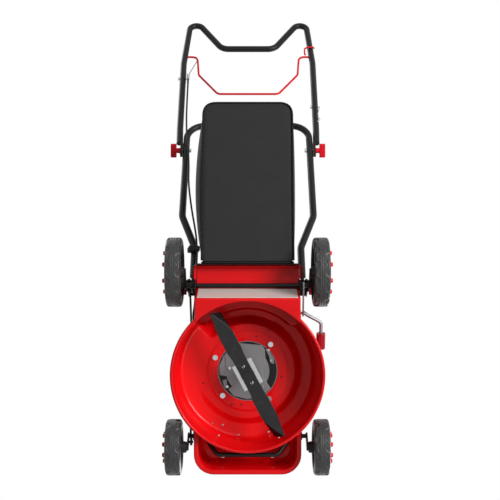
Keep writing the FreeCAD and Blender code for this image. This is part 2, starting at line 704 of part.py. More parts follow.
def make_engine():
    top = plate_z + wall
    flange = rod_z(0, 0, 112, top, top + 7)
    case = rod_z(0, 0, block_r, top, housing_z - 5)
    lid = rod_z(0, 0, housing_r, housing_z - 6, housing_z)
    barrel = block(-40, 40, -140, -60, 184, 240)
    fins = [block(-50, 50, -96 - 9 * i, -93 - 9 * i, 176, 240) for i in range(5)]
    sump = rod_z(0, 0, 62, plate_z - 4, top + 1)
    filler = rod_z(-84, 84, 11, top + 7, 262).fuse(block(-90, -60, 55, 90, top + 6, top + 26))
    shape = fuse(flange, case, lid, barrel, sump, filler, *fins)
    shape = shape.cut(rod_z(0, 0, shaft_r + fit, 100, 400)).cut(rod_z(-84, 84, 7, 200, 300))
    save("engine_block", shape)

    bolts = []
    for angle in engine_bolt_angles:
        a = math.radians(angle)
        x, y = bolt_circle_r * math.cos(a), bolt_circle_r * math.sin(a)
        bolts.append(rod_z(x, y, 7.5, plate_z - 6, plate_z))
    save("engine_bolts", Part.makeCompound(bolts))

    head = rounded(block(-48, 48, -162, -140, 180, 240), 5, Y_AXIS)
    ribs = [block(-44 + 13 * i, -40 + 13 * i, -172, -160, 186, 236) for i in range(7) if i != 3]
    save("cylinder_head", fuse(head, *ribs))

    plug = rod((0, -162, 214), (0, -184, 214), 7)
    boot = rod((0, -178, 214), (0, -200, 214), 10).fuse(Part.makeSphere(10, V(0, -200, 214)))
    lead = bar([(0, -202, 214), (10, -208, 240), (36, -196, 262), (40, -160, 268)], [14, 14], 3)
    save("spark_plug", fuse(plug, boot, lead.cut(block(-60, 60, -166, -100, 250, 300))))

    drum = rod_z(0, 0, housing_r, housing_z, housing_top_z)
    duct = rounded(block(-58, 58, -166, -20, housing_z, housing_top_z), 12, Z_AXIS)
    inner = rod_z(0, 0, housing_r - 4, housing_z - 1, housing_top_z - 3)
    inner = inner.fuse(block(-54, 54, -162, -20, housing_z - 1, housing_top_z - 3))
    hood = fuse(drum, duct).cut(inner).cut(rod_z(0, 0, 60, 280, 330))
    save("blower_housing", hood)

    rim = rod_z(0, 0, 82, housing_top_z, housing_top_z + 26)
    dome = Part.makeCone(82, 60, 12, V(0, 0, housing_top_z + 26))
    hollow = rod_z(0, 0, 78, housing_top_z - 1, housing_top_z + 23)
    cover = fuse(rim, dome).cut(hollow)
    for i in range(12):
        a = 30 * i
        slot = block(38, 62, -4, 4, housing_top_z + 10, housing_top_z + 50)
        slot.rotate(V(0, 0, 0), Z_AXIS, a + 15)
        cover = cover.cut(slot)
    nose = rod((-8, 62, housing_top_z + 12), (-12, 88, housing_top_z + 24), 10)
    cover = cover.fuse(nose.cut(rod_z(0, 0, 79, 300, 400))).removeSplitter()
    save("recoil_cover", cover)

    wheel = turned_z([(shaft_r, 266), (80, 266), (80, 286), (60, 286), (60, 274), (24, 274), (24, 292),
                      (shaft_r, 292)])
    vanes = []
    for i in range(16):
        vane = block(62, 84, -1.5, 1.5, 286, 300)
        vane.rotate(V(0, 0, 0), Z_AXIS, 22.5 * i)
        vanes.append(vane)
    save("flywheel", fuse(wheel, *vanes))

    silencer = rounded(block(-156, -104, -128, -30, 210, 264), 12, Y_AXIS)
    pipe = rod((-38, -112, 214), (-110, -112, 222), 9).cut(block(-50, 50, -150, -60, 170, 245))
    save("muffler", fuse(silencer, pipe.cut(rod_z(0, 0, housing_r, housing_z, 400))))

    body = rounded(block(56, 92, -126, -92, 196, 238), 5, X_AXIS).fuse(
        rod((50, -109, 216), (58, -109, 216), 12))
    save("carburettor", fuse(body, rod_z(74, -109, 13, 184, 200)))
    save("air_filter_cover", rounded(block(92, 152, -158, -58, 188, 262), 14))
    tank = rounded(block(60, 164, -44, 84, 226, 296), 16, Z_AXIS)
    tank = tank.cut(rod_z(0, 0, housing_r, 200, 400)).fuse(rod_z(132, 20, 14, 290, 303))
    save("fuel_tank", tank.removeSplitter())
    cap = rod_z(132, 20, 21, 296 + gap, 314).cut(rod_z(132, 20, 14 + fit, 290, 303 + gap))
    save("fuel_cap", cap)
    stick = rod_z(-84, 84, 15, 262 + gap, 276).fuse(block(-87, -81, 68, 100, 275, 284))
    save("dipstick", stick.fuse(rod_z(-84, 84, 5, 205, 264)))


starter_pull = V(-0.18, 0.77, 0.61).normalize()


def make_starter_grip():
    base = V(-13, 89.5, housing_top_z + 25)
    stem = Part.makeCylinder(6, 16, base, starter_pull)
    middle = base + starter_pull * 18
    save("starter_grip", fuse(stem, rod((middle.x - 38, middle.y, middle.z),
                                        (middle.x + 38, middle.y, middle.z), 10)))


# ---------------------------------------------------------------- door and bag
def make_door():
    y, z = door_hinge_y, door_hinge_z
    low = chute_side_z + gap
    plate = block(-door_half, door_half, y + 12, mouth_y - 1, low, low + wall)
    throat = block(-130, 130, y, y + 13, low, low + wall)
    pieces = [plate, throat]
    for x in (-door_half, chute_half + gap):
        pieces.append(block(x, x + door_half - chute_half - gap, y + 14, mouth_y - 1, 192, low + 1))
    for x in (-100, 60):
        pieces.append(rod_x(y, z, 5.2, x, x + 40))
        pieces.append(block(x, x + 40, y - 2, y + 4, low, z))
    door = fuse(*pieces).cut(rod_x(y, z, 2.5 + fit, -200, 200))
    save("rear_door", door.removeSplitter())
    spring = ring_x(y, z, 2.5, 4, -24, 24)
    save("door_hinge_rod", fuse(rod_x(y, z, 2.5, -139, 139), spring))


bag_front_y = mouth_y + 9.3


def bag_outline(w):
    front = bag_front_y + w
    return [(front, 100 + 1.1 * w), (bag_rear_y - w, 198 + 1.1 * w), (bag_rear_y - 36 - w, 452 - 1.2 * w),
            (front, 236 - 1.2 * w)]


def make_bag():
    outer = prism_x(bag_outline(0), -bag_half, bag_half)
    outer = outer.common(rounded(block(-bag_half, bag_half, 280, bag_rear_y, 50, 500), 38, Z_AXIS))
    half = bag_half - bag_wall
    inner = prism_x(bag_outline(bag_wall), -half, half)
    inner = inner.common(rounded(block(-half, half, 280, bag_rear_y - bag_wall, 50, 500), 35, Z_AXIS))
    mouth = block(-124, 124, bag_front_y - 5, bag_front_y + 10, 146, 228)
    outer = outer.fuse(prism_x([(bag_front_y, 100), (bag_front_y + 45, 109), (bag_front_y + 45, 258),
                                (bag_front_y, 236)], -bag_half, bag_half))
    inner = inner.fuse(prism_x([(bag_front_y + 3, 104), (bag_front_y + 45, 113), (bag_front_y + 45, 252),
                                (bag_front_y + 3, 233)], -half, half))
    save("grass_bag", outer.cut(inner).cut(mouth).removeSplitter())

    y0 = mouth_y + gap
    plate = block(-chute_half, chute_half, y0, y0 + 2, 101, 235)
    plate = plate.cut(block(-136, 136, y0 - 1, y0 + 3, 144, 230))
    yc = y0 + 5.5
    loop = bar([(0, yc, 106), (-128, yc, 106), (-128, yc, 231), (128, yc, 231), (128, yc, 106),
                (0, yc, 106)], 14, 3.5)
    top = bar([(-40, 520, 330), (-40, 508, 384), (40, 508, 384), (40, 520, 330)], 14, 5)
    under = prism_x(bag_outline(0), -bag_half, bag_half)
    save("bag_frame", Part.makeCompound([fuse(plate, loop), top.cut(under)]))


# ---------------------------------------------------------------- build everything
deck_outside = make_deck()
make_apron(deck_outside)
make_deflector()
make_brackets()
make_bushes()
make_height_sector()
make_rear_axle()
make_height_lever()
make_front_axle()
make_link_rod()
for name, side in (("left", 1), ("right", -1)):
    make_wheel("rear_" + name, side, rear_wheel_y, rear_wheel_r, rear_lugs, 178)
    make_wheel("front_" + name, side, front_wheel_y, front_wheel_r, front_lugs, 169)
    make_knob("upper_knob_" + name, side, joint_t, knob_start, knob_start + 31.7, knob_start + 25.2)
    make_knob("lower_knob_" + name, side, 0, bracket_outer + bracket_plate + gap, 196, 190.5)
make_lower_handle()
make_upper_handle()
make_bail()
make_pivot_bolts()
make_handle_fittings()
make_cables()
make_blade()
make_engine()
make_starter_grip()
make_door()
make_bag()

rear_end = nodes["upper_handle"].optimalBoundingBox(False, False).YMax
front_end = front_wheel_y - front_wheel_r
middle_y = (rear_end + front_end) / 2
for name, shape in nodes.items():
    placed = shape.copy()
    placed.translate(V(0, -middle_y, 0))
    placed.exportStep("parts/" + name + ".step")
print("nodes", len(nodes), "middle_y", middle_y)
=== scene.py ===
# %% [markdown]
# # A push lawn mower
# The mower's frame was made in a CAD tool and is loaded as it is: every tube, wheel and hinge is
# at its real size and place, in metres. This lesson dresses it. Pressed sheet, tyres, knobs, cables
# and the sewn bag are modelled again as detailed meshes that lie where the plain CAD solids lie,
# and every surface gets a material that is worked out by nodes.

import json
import math

import bmesh
import bpy
from mathutils import Matrix, Vector


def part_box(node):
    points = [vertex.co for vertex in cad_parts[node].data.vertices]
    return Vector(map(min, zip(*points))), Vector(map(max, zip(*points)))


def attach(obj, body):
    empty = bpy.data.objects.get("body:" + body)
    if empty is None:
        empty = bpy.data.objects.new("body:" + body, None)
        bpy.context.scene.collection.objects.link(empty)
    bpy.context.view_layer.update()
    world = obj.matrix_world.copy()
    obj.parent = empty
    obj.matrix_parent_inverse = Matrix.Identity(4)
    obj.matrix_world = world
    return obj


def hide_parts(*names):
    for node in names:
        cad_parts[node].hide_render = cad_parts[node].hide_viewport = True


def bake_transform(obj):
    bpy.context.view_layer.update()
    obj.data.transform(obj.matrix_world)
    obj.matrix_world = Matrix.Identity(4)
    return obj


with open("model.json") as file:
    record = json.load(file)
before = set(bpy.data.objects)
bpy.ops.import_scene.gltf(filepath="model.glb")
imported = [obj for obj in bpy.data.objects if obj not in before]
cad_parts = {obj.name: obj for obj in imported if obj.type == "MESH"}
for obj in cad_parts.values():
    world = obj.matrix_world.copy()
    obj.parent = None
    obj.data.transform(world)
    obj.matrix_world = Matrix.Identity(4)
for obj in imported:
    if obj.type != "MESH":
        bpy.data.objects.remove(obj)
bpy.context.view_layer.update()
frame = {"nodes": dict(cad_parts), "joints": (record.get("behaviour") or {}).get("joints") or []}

# %% [markdown]
# Lengths are written in millimetres, as on a drawing, and `MM` turns them to metres. The places
# that everything else hangs on come from the frame's joints: the blade's axis and the handle's two
# pivots. Most points are given by `place`, from the blade's axis and the ground; those of the
# handle are given by `on_handle`, along its slope.

# %% Places taken from the frame
MM = 0.001
joints = {j["name"]: j for j in frame["joints"]}


def pivot(name):
    """The point, in metres, that a joint of the frame turns about."""
    return Vector(joints[name]["pos_m"])


blade_axis_y = pivot("blade_spin").y
lower_pivot = pivot("lower_handle_fold")
upper_pivot = pivot("upper_handle_fold")
slope = (upper_pivot - lower_pivot).normalized()      # direction of the handle, up and to the rear
lift = Vector((0, -slope.z, slope.y))                 # away from the handle's plane, upwards


def place(x, y, z):
    """A point in millimetres, with y measured from the blade's axis and z from the ground."""
    return Vector((x * MM, blade_axis_y + y * MM, z * MM))


def on_handle(x, t, h=0.0):
    """A point at x, t up the handle from its lower pivot and h above its plane, in millimetres."""
    return Vector((x * MM, lower_pivot.y, lower_pivot.z)) + slope * (t * MM) + lift * (h * MM)


def along_handle(*points):
    """Several points of the handle, each given as (x, t) or (x, t, h)."""
    return [on_handle(*point) for point in points]


print("blade axis at y =", round(blade_axis_y, 4), "m, handle slope",
      round(math.degrees(math.atan2(slope.z, slope.y)), 1), "degrees")

# %% [markdown]
# ## Camera, light and floor
# The mower is looked at from straight below, as a tester sees it on a glass table. The camera looks
# up, with the rear of the mower at the top of the picture. It stands a little off the middle, two
# and a half metres under the ground.

# %% Camera
CAMERA_LENS = 67.5
CAMERA_PLACE = (-6.7, 345, -2525)


def add_object(name, data):
    """A new object in the scene."""
    made = bpy.data.objects.new(name, data)
    bpy.context.scene.collection.objects.link(made)
    return made


camera_data = bpy.data.cameras.new("camera")
camera_data.lens = CAMERA_LENS
camera_data.clip_end = 50
camera = add_object("camera", camera_data)
camera.location = place(*CAMERA_PLACE)
camera.rotation_euler = (0, math.pi, 0)
bpy.context.scene.camera = camera
bpy.context.scene.view_settings.view_transform = "Standard"
print("camera under the mower, lens", CAMERA_LENS, "mm")


# %% A helper for node trees
def add_node(tree, kind, inputs=None, **settings):
    """Adds a node; an input's value is a number, a colour or another node's output socket."""
    made = tree.nodes.new(kind)
    for key, value in settings.items():
        setattr(made, key, value)
    for key, value in (inputs or {}).items():
        if isinstance(value, bpy.types.NodeSocket):
            tree.links.new(value, made.inputs[key])
        else:
            made.inputs[key].default_value = value
    return made


# %% [markdown]
# The world is white where the camera looks at it, where it is mirrored and where it is seen through
# something clear. To every other ray it is almost dark, so that the lamps do the lighting.

# %% World: a white surround that lights gently
WORLD_FILL = 0.11

world = bpy.data.worlds.new("studio")
bpy.context.scene.world = world
world.use_nodes = True
tree = world.node_tree
tree.nodes.clear()
rays = add_node(tree, "ShaderNodeLightPath").outputs
mirror_rays = add_node(tree, "ShaderNodeMath", operation="MAXIMUM",
                       inputs={0: rays["Is Glossy Ray"], 1: rays["Is Transmission Ray"]})
seen = add_node(tree, "ShaderNodeMath", operation="MAXIMUM",
                inputs={0: rays["Is Camera Ray"], 1: mirror_rays.outputs[0]})
level = add_node(tree, "ShaderNodeMapRange",
                 {"Value": seen.outputs[0], "To Min": WORLD_FILL, "To Max": 1.0})
glow = add_node(tree, "ShaderNodeBackground",
                {"Color": (1, 1, 1, 1), "Strength": level.outputs[0]})
add_node(tree, "ShaderNodeOutputWorld", {"Surface": glow.outputs[0]})
print("world: white to the eye, fill", WORLD_FILL)

# %% [markdown]
# Three soft lamps stand below the ground for the view from below, the strongest to one side, so
# that the deck's wall throws its shadow into the pan. Two weaker ones light the views from above.

# %% Soft lamps above and below
LAMPS = (                                             # name, place in metres, size in metres, watts
    ("below_right", (-3.6, 1.4, -3.2), 1.6, 205),
    ("below_rear", (-1.6, 3.4, -3.0), 1.6, 40),
    ("below_front", (-2.6, -2.4, -3.4), 1.4, 26),
    ("above_front", (-1.6, -1.8, 2.6), 1.6, 45),
    ("above_rear", (1.8, 1.6, 2.4), 1.6, 30),
)
AIM = Vector((0, 0, 0.3))                             # the middle of the mower

for name, where, size, watts in LAMPS:
    data = bpy.data.lights.new(name, "AREA")
    data.energy = watts
    data.size = size
    lamp = add_object(name, data)
    lamp.location = where
    lamp.rotation_mode = "QUATERNION"
    lamp.rotation_quaternion = (AIM - Vector(where)).to_track_quat("-Z", "Y")
print("lamps:", len(LAMPS))

# %% [markdown]
# The floor is there for every view from above. Its lower side is clear, so that it hides nothing
# from below: the geometry node's Backfacing output picks the transparent shader there.

# %% Floor that is only seen from above
FLOOR_SIZE = 40

mesh = bpy.data.meshes.new("floor")
bm = bmesh.new()
bmesh.ops.create_grid(bm, x_segments=1, y_segments=1, size=FLOOR_SIZE)
bm.to_mesh(mesh)
bm.free()
floor = add_object("floor", mesh)
for ray_kind in ("visible_diffuse", "visible_glossy", "visible_transmission", "visible_shadow"):
    setattr(floor, ray_kind, False)
paper = bpy.data.materials.new("floor_paper")
paper.use_nodes = True
tree = paper.node_tree
shader = tree.nodes["Principled BSDF"]
for socket, value in (("Base Color", (0.5, 0.5, 0.49, 1)), ("Emission Color", (1, 1, 1, 1)),
                      ("Emission Strength", 0.3), ("Roughness", 0.9)):
    shader.inputs[socket].default_value = value
lower_side = add_node(tree, "ShaderNodeNewGeometry").outputs["Backfacing"]
clear = add_node(tree, "ShaderNodeBsdfTransparent")
either = add_node(tree, "ShaderNodeMixShader",
                  {0: lower_side, 1: shader.outputs[0], 2: clear.outputs[0]})
tree.links.new(either.outputs[0], tree.nodes["Material Output"].inputs["Surface"])
mesh.materials.append(paper)
print("floor laid")

# %% [markdown]
# ## Finishes
# Each finish is a Principled shader with a little life in it: a slow change of tone, and a fine
# relief from a noise whose pitch is a real length. The pattern is laid in object coordinates, so it
# stays on the piece when the piece moves, and no picture file is needed.


# %% Colours and one recipe for a finish
def linear(code):
    """A hex colour as seen on a screen, turned to the linear values that a shader takes."""
    parts = [int(code[i:i + 2], 16) / 255 for i in (0, 2, 4)]
    return [c / 12.92 if c <= 0.04045 else ((c + 0.055) / 1.055) ** 2.4 for c in parts] + [1.0]


finishes = {}


def finish(name, code, roughness, grain, depth, tone=0.08, patch=60, stretch=(1, 1, 1), **sockets):
    """Makes a finish and returns what a further cell needs to add to it.

    Its relief is depth mm deep at a pitch of grain mm, and its tone drifts in patches of patch mm.
    Other words name sockets of the shader, with _ for a space, such as Coat_Weight=0.5.
    """
    made = bpy.data.materials.new(name)
    made.use_nodes = True
    tree = made.node_tree
    shader = tree.nodes["Principled BSDF"]
    shader.inputs["Roughness"].default_value = roughness
    for key, value in sockets.items():
        shader.inputs[key.replace("_", " ")].default_value = value
    where = add_node(tree, "ShaderNodeTexCoord").outputs["Object"]
    stretched = add_node(tree, "ShaderNodeMapping", {"Vector": where, "Scale": stretch})
    drift = add_node(tree, "ShaderNodeTexNoise",
                     {"Vector": where, "Scale": 1000 / patch, "Detail": 4.0})
    colour = linear(code)
    darker = [c * (1 - tone) for c in colour[:3]] + [1.0]
    lighter = [min(1.0, c * (1 + tone)) for c in colour[:3]] + [1.0]
    mixed = add_node(tree, "ShaderNodeMix", {0: drift.outputs["Fac"], 6: darker, 7: lighter},
                     data_type="RGBA")
    relief = add_node(tree, "ShaderNodeTexNoise",
                      {"Vector": stretched.outputs[0], "Scale": 1000 / grain, "Detail": 2.0})
    bump = add_node(tree, "ShaderNodeBump",
                    {"Height": relief.outputs["Fac"], "Distance": depth * MM})
    tree.links.new(mixed.outputs[2], shader.inputs["Base Color"])
    tree.links.new(bump.outputs[0], shader.inputs["Normal"])
    finishes[name] = made
    return tree, shader, where, mixed, bump


# %% Paint, plating, cast metal and plastics
finish("red_enamel", "F00A12", 0.26, 3.0, 0.01, tone=0.05, Specular_IOR_Level=0.2,
       Coat_Weight=0.06, Coat_Roughness=0.04)
finish("red_plastic", "E80E26", 0.32, 1.6, 0.01, tone=0.04, patch=30, Specular_IOR_Level=0.2)
finish("dark_red_plastic", "A80A20", 0.36, 1.6, 0.01, tone=0.04, patch=30, Specular_IOR_Level=0.25)
finish("red_wire", "EE1220", 0.35, 1.0, 0.01, tone=0.05, patch=30, Specular_IOR_Level=0.2)
finish("black_powder", "1A1A1A", 0.36, 0.9, 0.01, tone=0.10, patch=80, Specular_IOR_Level=0.18)
finish("black_plastic", "1C1C1C", 0.5, 1.2, 0.02, tone=0.08, patch=40, Specular_IOR_Level=0.2)
finish("cable_sheath", "161616", 0.4, 2.0, 0.01, tone=0.06, patch=25, Specular_IOR_Level=0.18)
finish("zinc_plate", "B4B6B8", 0.34, 0.7, 0.01, tone=0.05, patch=12, Metallic=1.0)
finish("cast_metal", "7C7D7F", 0.55, 1.1, 0.08, tone=0.12, patch=25, Metallic=0.6)
finish("machined_metal", "B2B3B5", 0.34, 0.5, 0.01, tone=0.04, patch=20, stretch=(1, 1, 12),
       Metallic=1.0)
finish("dull_steel", "77757A", 0.5, 1.0, 0.03, tone=0.15, patch=18, Metallic=1.0)
finish("lever_plate", "8C8C90", 0.4, 0.6, 0.01, tone=0.08, patch=20, Metallic=1.0)
# The rear deflector's flange is red steel; this pale pink finish is a painted reflection of white
# light on it.
finish("strip_painted_reflection", "FCEDE6", 0.34, 6.0, 0.02, tone=0.03, patch=50, Coat_Weight=0.3)
finish("tank_plastic", "1E1E1F", 0.45, 1.4, 0.04, tone=0.08, patch=50)
print("finishes so far:", len(finishes))

# %% [markdown]
# Rubber picks up dust in its pores, so the tyres have a mottled tone as well as a relief: a fine
# noise is cut off below its middle, and what is left of it mixes in the colour of dust.

# %% Tyre rubber
tree, shader, where, mixed, _ = finish("tyre_rubber", "2C2C2C", 0.42, 1.2, 0.03, tone=0.15,
                                       patch=20, Specular_IOR_Level=0.42)
dust = add_node(tree, "ShaderNodeTexNoise",
                {"Vector": where, "Scale": 260.0, "Detail": 5.0, "Roughness": 0.7})
pick = add_node(tree, "ShaderNodeMapRange",
                {"Value": dust.outputs["Fac"], "From Min": 0.45, "From Max": 0.7,
                 "To Min": 0.0, "To Max": 0.35})
dusty = add_node(tree, "ShaderNodeMix", data_type="RGBA",
                 inputs={0: pick.outputs[0], 6: mixed.outputs[2], 7: linear("565553")})
tree.links.new(dusty.outputs[2], shader.inputs["Base Color"])
print("tyre rubber has dust in it")

# %% [markdown]
# The blade is painted black, and grass has rubbed it in arcs about its axis. A noise that only
# knows the distance from that axis makes rings, and a second noise breaks them into marks.

# %% Blade paint with rubbed arcs
tree, shader, where, mixed, _ = finish("blade_paint", "101011", 0.2, 6.0, 0.05, tone=0.1,
                                       patch=40, Specular_IOR_Level=0.35)
from_axis = add_node(tree, "ShaderNodeVectorMath", {0: where, 1: (0, blade_axis_y, 0)},
                     operation="SUBTRACT")
flattened = add_node(tree, "ShaderNodeVectorMath", {0: from_axis.outputs[0], 1: (1, 1, 0)},
                     operation="MULTIPLY")
distance = add_node(tree, "ShaderNodeVectorMath", {0: flattened.outputs[0]}, operation="LENGTH")
rings = add_node(tree, "ShaderNodeTexNoise", noise_dimensions="1D",
                 inputs={"W": distance.outputs["Value"], "Scale": 420.0, "Detail": 3.0})
rubbed = add_node(tree, "ShaderNodeTexNoise", {"Vector": where, "Scale": 35.0, "Detail": 4.0})
both = add_node(tree, "ShaderNodeMath", operation="MULTIPLY",
                inputs={0: rings.outputs["Fac"], 1: rubbed.outputs["Fac"]})
marks = add_node(tree, "ShaderNodeMapRange",
                 {"Value": both.outputs[0], "From Min": 0.30, "From Max": 0.46,
                  "To Min": 0.0, "To Max": 0.22})
scuffed = add_node(tree, "ShaderNodeMix", data_type="RGBA",
                   inputs={0: marks.outputs[0], 6: mixed.outputs[2], 7: linear("5C5C5E")})
tree.links.new(scuffed.outputs[2], shader.inputs["Base Color"])
print("blade paint has rubbed arcs")

# %% [markdown]
# The bag is woven from a thick yarn. Two waves at right angles, multiplied, stand for the yarns
# that go over and under. The piping is the same cloth in a finer and darker weave.

# %% Woven bag cloth and its piping
WEAVE_DEPTH = 0.25 * MM

for name, code, pitch in (("bag_cloth", "303030", 1.6), ("piping_cloth", "141414", 0.9)):
    tree, shader, where, mixed, bump = finish(
        name, code, 0.85, 2.0, 0.05, tone=0.14, patch=45, Specular_IOR_Level=0.2,
        Sheen_Weight=0.12, Sheen_Roughness=0.5)
    warp, weft = (add_node(tree, "ShaderNodeTexWave", bands_direction=axis,
                           inputs={"Vector": where, "Scale": 1000 / pitch / 20, "Distortion": 0.4})
                  for axis in ("X", "Y"))
    woven = add_node(tree, "ShaderNodeMath", operation="MULTIPLY",
                     inputs={0: warp.outputs["Fac"], 1: weft.outputs["Fac"]})
    weave = add_node(tree, "ShaderNodeBump",
                     {"Height": woven.outputs[0], "Distance": WEAVE_DEPTH,
                      "Normal": bump.outputs[0]})
    tree.links.new(weave.outputs[0], shader.inputs["Normal"])
print("finishes:", len(finishes))

# %% [markdown]
# ## Making pieces
# A piece starts as a bmesh: points and faces are made by operators, and edges are beveled so that
# they catch the light as real edges do. `piece` turns the bmesh into an object, gives it its finish
# and makes it ride on a body of the frame. Where it stands for a plain CAD solid, that solid is
# hidden.


# %% Helpers for pieces
def piece(name, bm, finish_name, body, replaces=(), sharp=35, thick=0.0, flats=False):
    """thick gives a sheet its thickness in mm, on the side that its faces turn their backs to.

    flats keeps the shading of large flat faces even, up to the small faces of their bevels.
    """
    mesh = bpy.data.meshes.new(name)
    bm.to_mesh(mesh)
    bm.free()
    mesh.shade_smooth()
    mesh.set_sharp_from_angle(angle=math.radians(sharp))
    mesh.materials.append(finishes[finish_name])
    made = add_object(name, mesh)
    if thick:
        solidify = made.modifiers.new("sheet", "SOLIDIFY")
        solidify.thickness = thick * MM
        solidify.offset = -1
    if flats:
        even = made.modifiers.new("even_shading", "WEIGHTED_NORMAL")
        even.weight = 100
        even.keep_sharp = True
    if body:
        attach(made, body)
    if replaces:
        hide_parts(*replaces)
    print(name + ":", len(mesh.polygons), "faces, rides on", body or "two bodies")
    return made


def smooth_step(u):
    """0 up to u = 0, 1 from u = 1 on, and a soft S between them."""
    u = min(1.0, max(0.0, u))
    return u * u * (3 - 2 * u)


def arc_angles(first, step, count):
    """Angles in radians, from a first one on by equal steps, both in degrees."""
    return [math.radians(first + step * k) for k in range(count)]


def grid_faces(bm, rows, closed=False):
    """Faces between rows of points; closed joins the last row to the first."""
    verts = [[bm.verts.new(p) for p in row] for row in rows]
    pairs = list(zip(verts, verts[1:])) + ([(verts[-1], verts[0])] if closed else [])
    for one, two in pairs:
        for a, b, c, d in zip(one, one[1:], two[1:], two):
            bm.faces.new((a, b, c, d))
    return verts


def bevel(bm, edges, width, segments=3):
    """Rounds edges by a width in millimetres."""
    return bmesh.ops.bevel(bm, geom=list(edges), offset=width * MM, segments=segments,
                           profile=0.5, affect="EDGES", material=-1)


def turn_over_if(wrong, bm):
    """Turns every face of a sheet round when a test says that they look the wrong way."""
    if wrong:
        bmesh.ops.reverse_faces(bm, faces=bm.faces)


def block(bm, where, size):
    """A cube that is stretched to a size in millimetres; returns its points."""
    stretch = Matrix.Diagonal([v * MM for v in size] + [1])
    return bmesh.ops.create_cube(bm, size=1, matrix=where @ stretch)["verts"]


# %% [markdown]
# A bar that is bent to a path comes back often: cables, piping, the rolled lip of the mouth. `tube`
# lays rings of points along a path, and joins them. A cable's path is read from a NURBS curve,
# whose control points are the places where the cable is held or changes direction. A bent wire's
# path is a few corners, and `rounded_path` puts an arc at each, as a bending tool does.


# %% Round bar along a path
def tube(bm, path, radius, sides=12):
    """Rings of points around a path of points in metres; the rings turn as little as they can."""
    across = (path[1] - path[0]).orthogonal().normalized()
    rings = []
    for k, point in enumerate(path):
        along = (path[min(k + 1, len(path) - 1)] - path[max(k - 1, 0)]).normalized()
        across = (across - along * across.dot(along)).normalized()
        other = along.cross(across)
        turns = (2 * math.pi * n / sides for n in range(sides))
        rings.append([bm.verts.new(point + (across * math.cos(a) + other * math.sin(a))
                                   * radius * MM) for a in turns])
    for one, two in zip(rings, rings[1:]):
        for n in range(sides):
            m = (n + 1) % sides
            bm.faces.new((one[n], one[m], two[m], two[n]))
    bm.faces.new(rings[0][::-1])
    bm.faces.new(rings[-1])


def smooth_line(points, fine=8):
    """Points along the NURBS curve that the given points steer."""
    data = bpy.data.curves.new("line", "CURVE")
    data.dimensions = "3D"
    spline = data.splines.new("NURBS")
    spline.points.add(len(points) - 1)
    for point, co in zip(spline.points, points):
        point.co = (*co, 1.0)
    spline.order_u = 3
    spline.use_endpoint_u = True
    spline.resolution_u = fine
    holder = bpy.data.objects.new("line", data)
    line = bpy.data.meshes.new_from_object(holder)
    path = [v.co.copy() for v in line.vertices]
    bpy.data.objects.remove(holder)
    bpy.data.meshes.remove(line)
    bpy.data.curves.remove(data)
    return path


def rounded_path(points, bend, steps=6):
    """The points, with an arc of about the radius bend, in millimetres, at each inner corner."""
    path = [points[0]]
    for before, corner, after in zip(points, points[1:], points[2:]):
        back, ahead = before - corner, after - corner
        turn = math.pi - back.angle(ahead)
        reach = min(bend * MM * math.tan(turn / 2), 0.45 * back.length, 0.45 * ahead.length)
        start, end = corner + back.normalized() * reach, corner + ahead.normalized() * reach
        for k in range(steps + 1):
            t = k / steps
            path.append(start * (1 - t) ** 2 + corner * 2 * t * (1 - t) + end * t ** 2)
    return path + [points[-1]]


# %% [markdown]
# ## The stop cable
# The stop cable runs from the bail down the left of the handle to the engine. It is a steel wire in
# a round sheath, 6 mm thick and rather stiff, so it hangs in long curves between its clips. It is
# made in stretches: the top two ride on the upper handle, and the lower two are set where they lie
# at rest and ride on no body.

# %% Stop cable
SHEATH, WIRE = 6.0, 2.4                               # thicknesses in millimetres
CABLE_X = 153.5                                       # its distance from the middle, at the clip


def cable(name, path, width, body):
    """One stretch of the cable: a tube of the given width along its path."""
    bm = bmesh.new()
    tube(bm, path, width / 2, 14)
    made = piece(name, bm, "cable_sheath", body, sharp=60)
    return made


wire_run = smooth_line(along_handle((183, 1012, -4.4), (197, 965, -10.2), (211, 918, -16)))
upper_run = smooth_line(along_handle((211, 897, -16), (211, 790, -14), (209, 705.3, -16)))
lower_run = smooth_line(along_handle(
    (209, 705, -16), (206, 630, -20), (197, 561, -20), (191, 470, -17), (190, 400, -17),
    (176, 292, -17), (158, 190, -17.5), (CABLE_X, 140, -15), (CABLE_X, 60, -15),
    (CABLE_X, 26, -18)))
foot = on_handle(CABLE_X, 26, -18) + Vector((0, -0.3, -0.3)) * MM
engine_run = smooth_line([foot, place(152.5, 240, 207), place(152.5, 196, 205),
                          place(161, 146, 208), place(150, 106, 206), place(112, 80, 207),
                          place(68.1, 57.1, 209)])

cable("cable_wire", wire_run, WIRE, "upper_handle")
upper_cable = cable("cable_upper", upper_run, SHEATH, "upper_handle")
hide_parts("stop_cable_upper")
lower_cable = cable("cable_lower", lower_run, SHEATH, None)
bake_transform(lower_cable)
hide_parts("stop_cable_lower")
engine_cable = cable("cable_engine", engine_run, SHEATH, None)
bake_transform(engine_cable)
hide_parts("stop_cable_engine")

# %% [markdown]
# ## The pressed deck
# The deck is one sheet, pressed into a round pan. Its channel climbs round the engine's plate, from
# the left of the chute to the right of it, so a plain spin of one section won't do. The section is
# worked out for each angle instead, and the rows of points are joined to a skin; a Solidify
# modifier then gives the sheet its 2 mm. Every bend has a radius and the rim is rolled outwards,
# since sheet steel can't be pressed to a sharp corner.

# %% Section of the pan at any angle
PLATE_Z, RING_Z = 152, 154.5                          # engine's plate, and the raised ring round it
RING_FROM, RING_TO = 110, 130                         # where the raised ring starts and ends
WALL_FROM, WALL_RUN = 133, 22                         # the S-shaped wall up to the channel's roof
BEND_R, ROLL_R = 15, 4.5                              # bend under the roof, rolled rim
RIM_R, RIM_Z, TOP_Z = 205, 45, 220                    # skirt's lower edge, and the highest roof
DRAFT = 15                                            # how much narrower the skirt is at TOP_Z
CHANNEL = ((-120, 220), (-57, 220), (-40, 153), (0, 154), (90, 166), (180, 200), (240, 220))


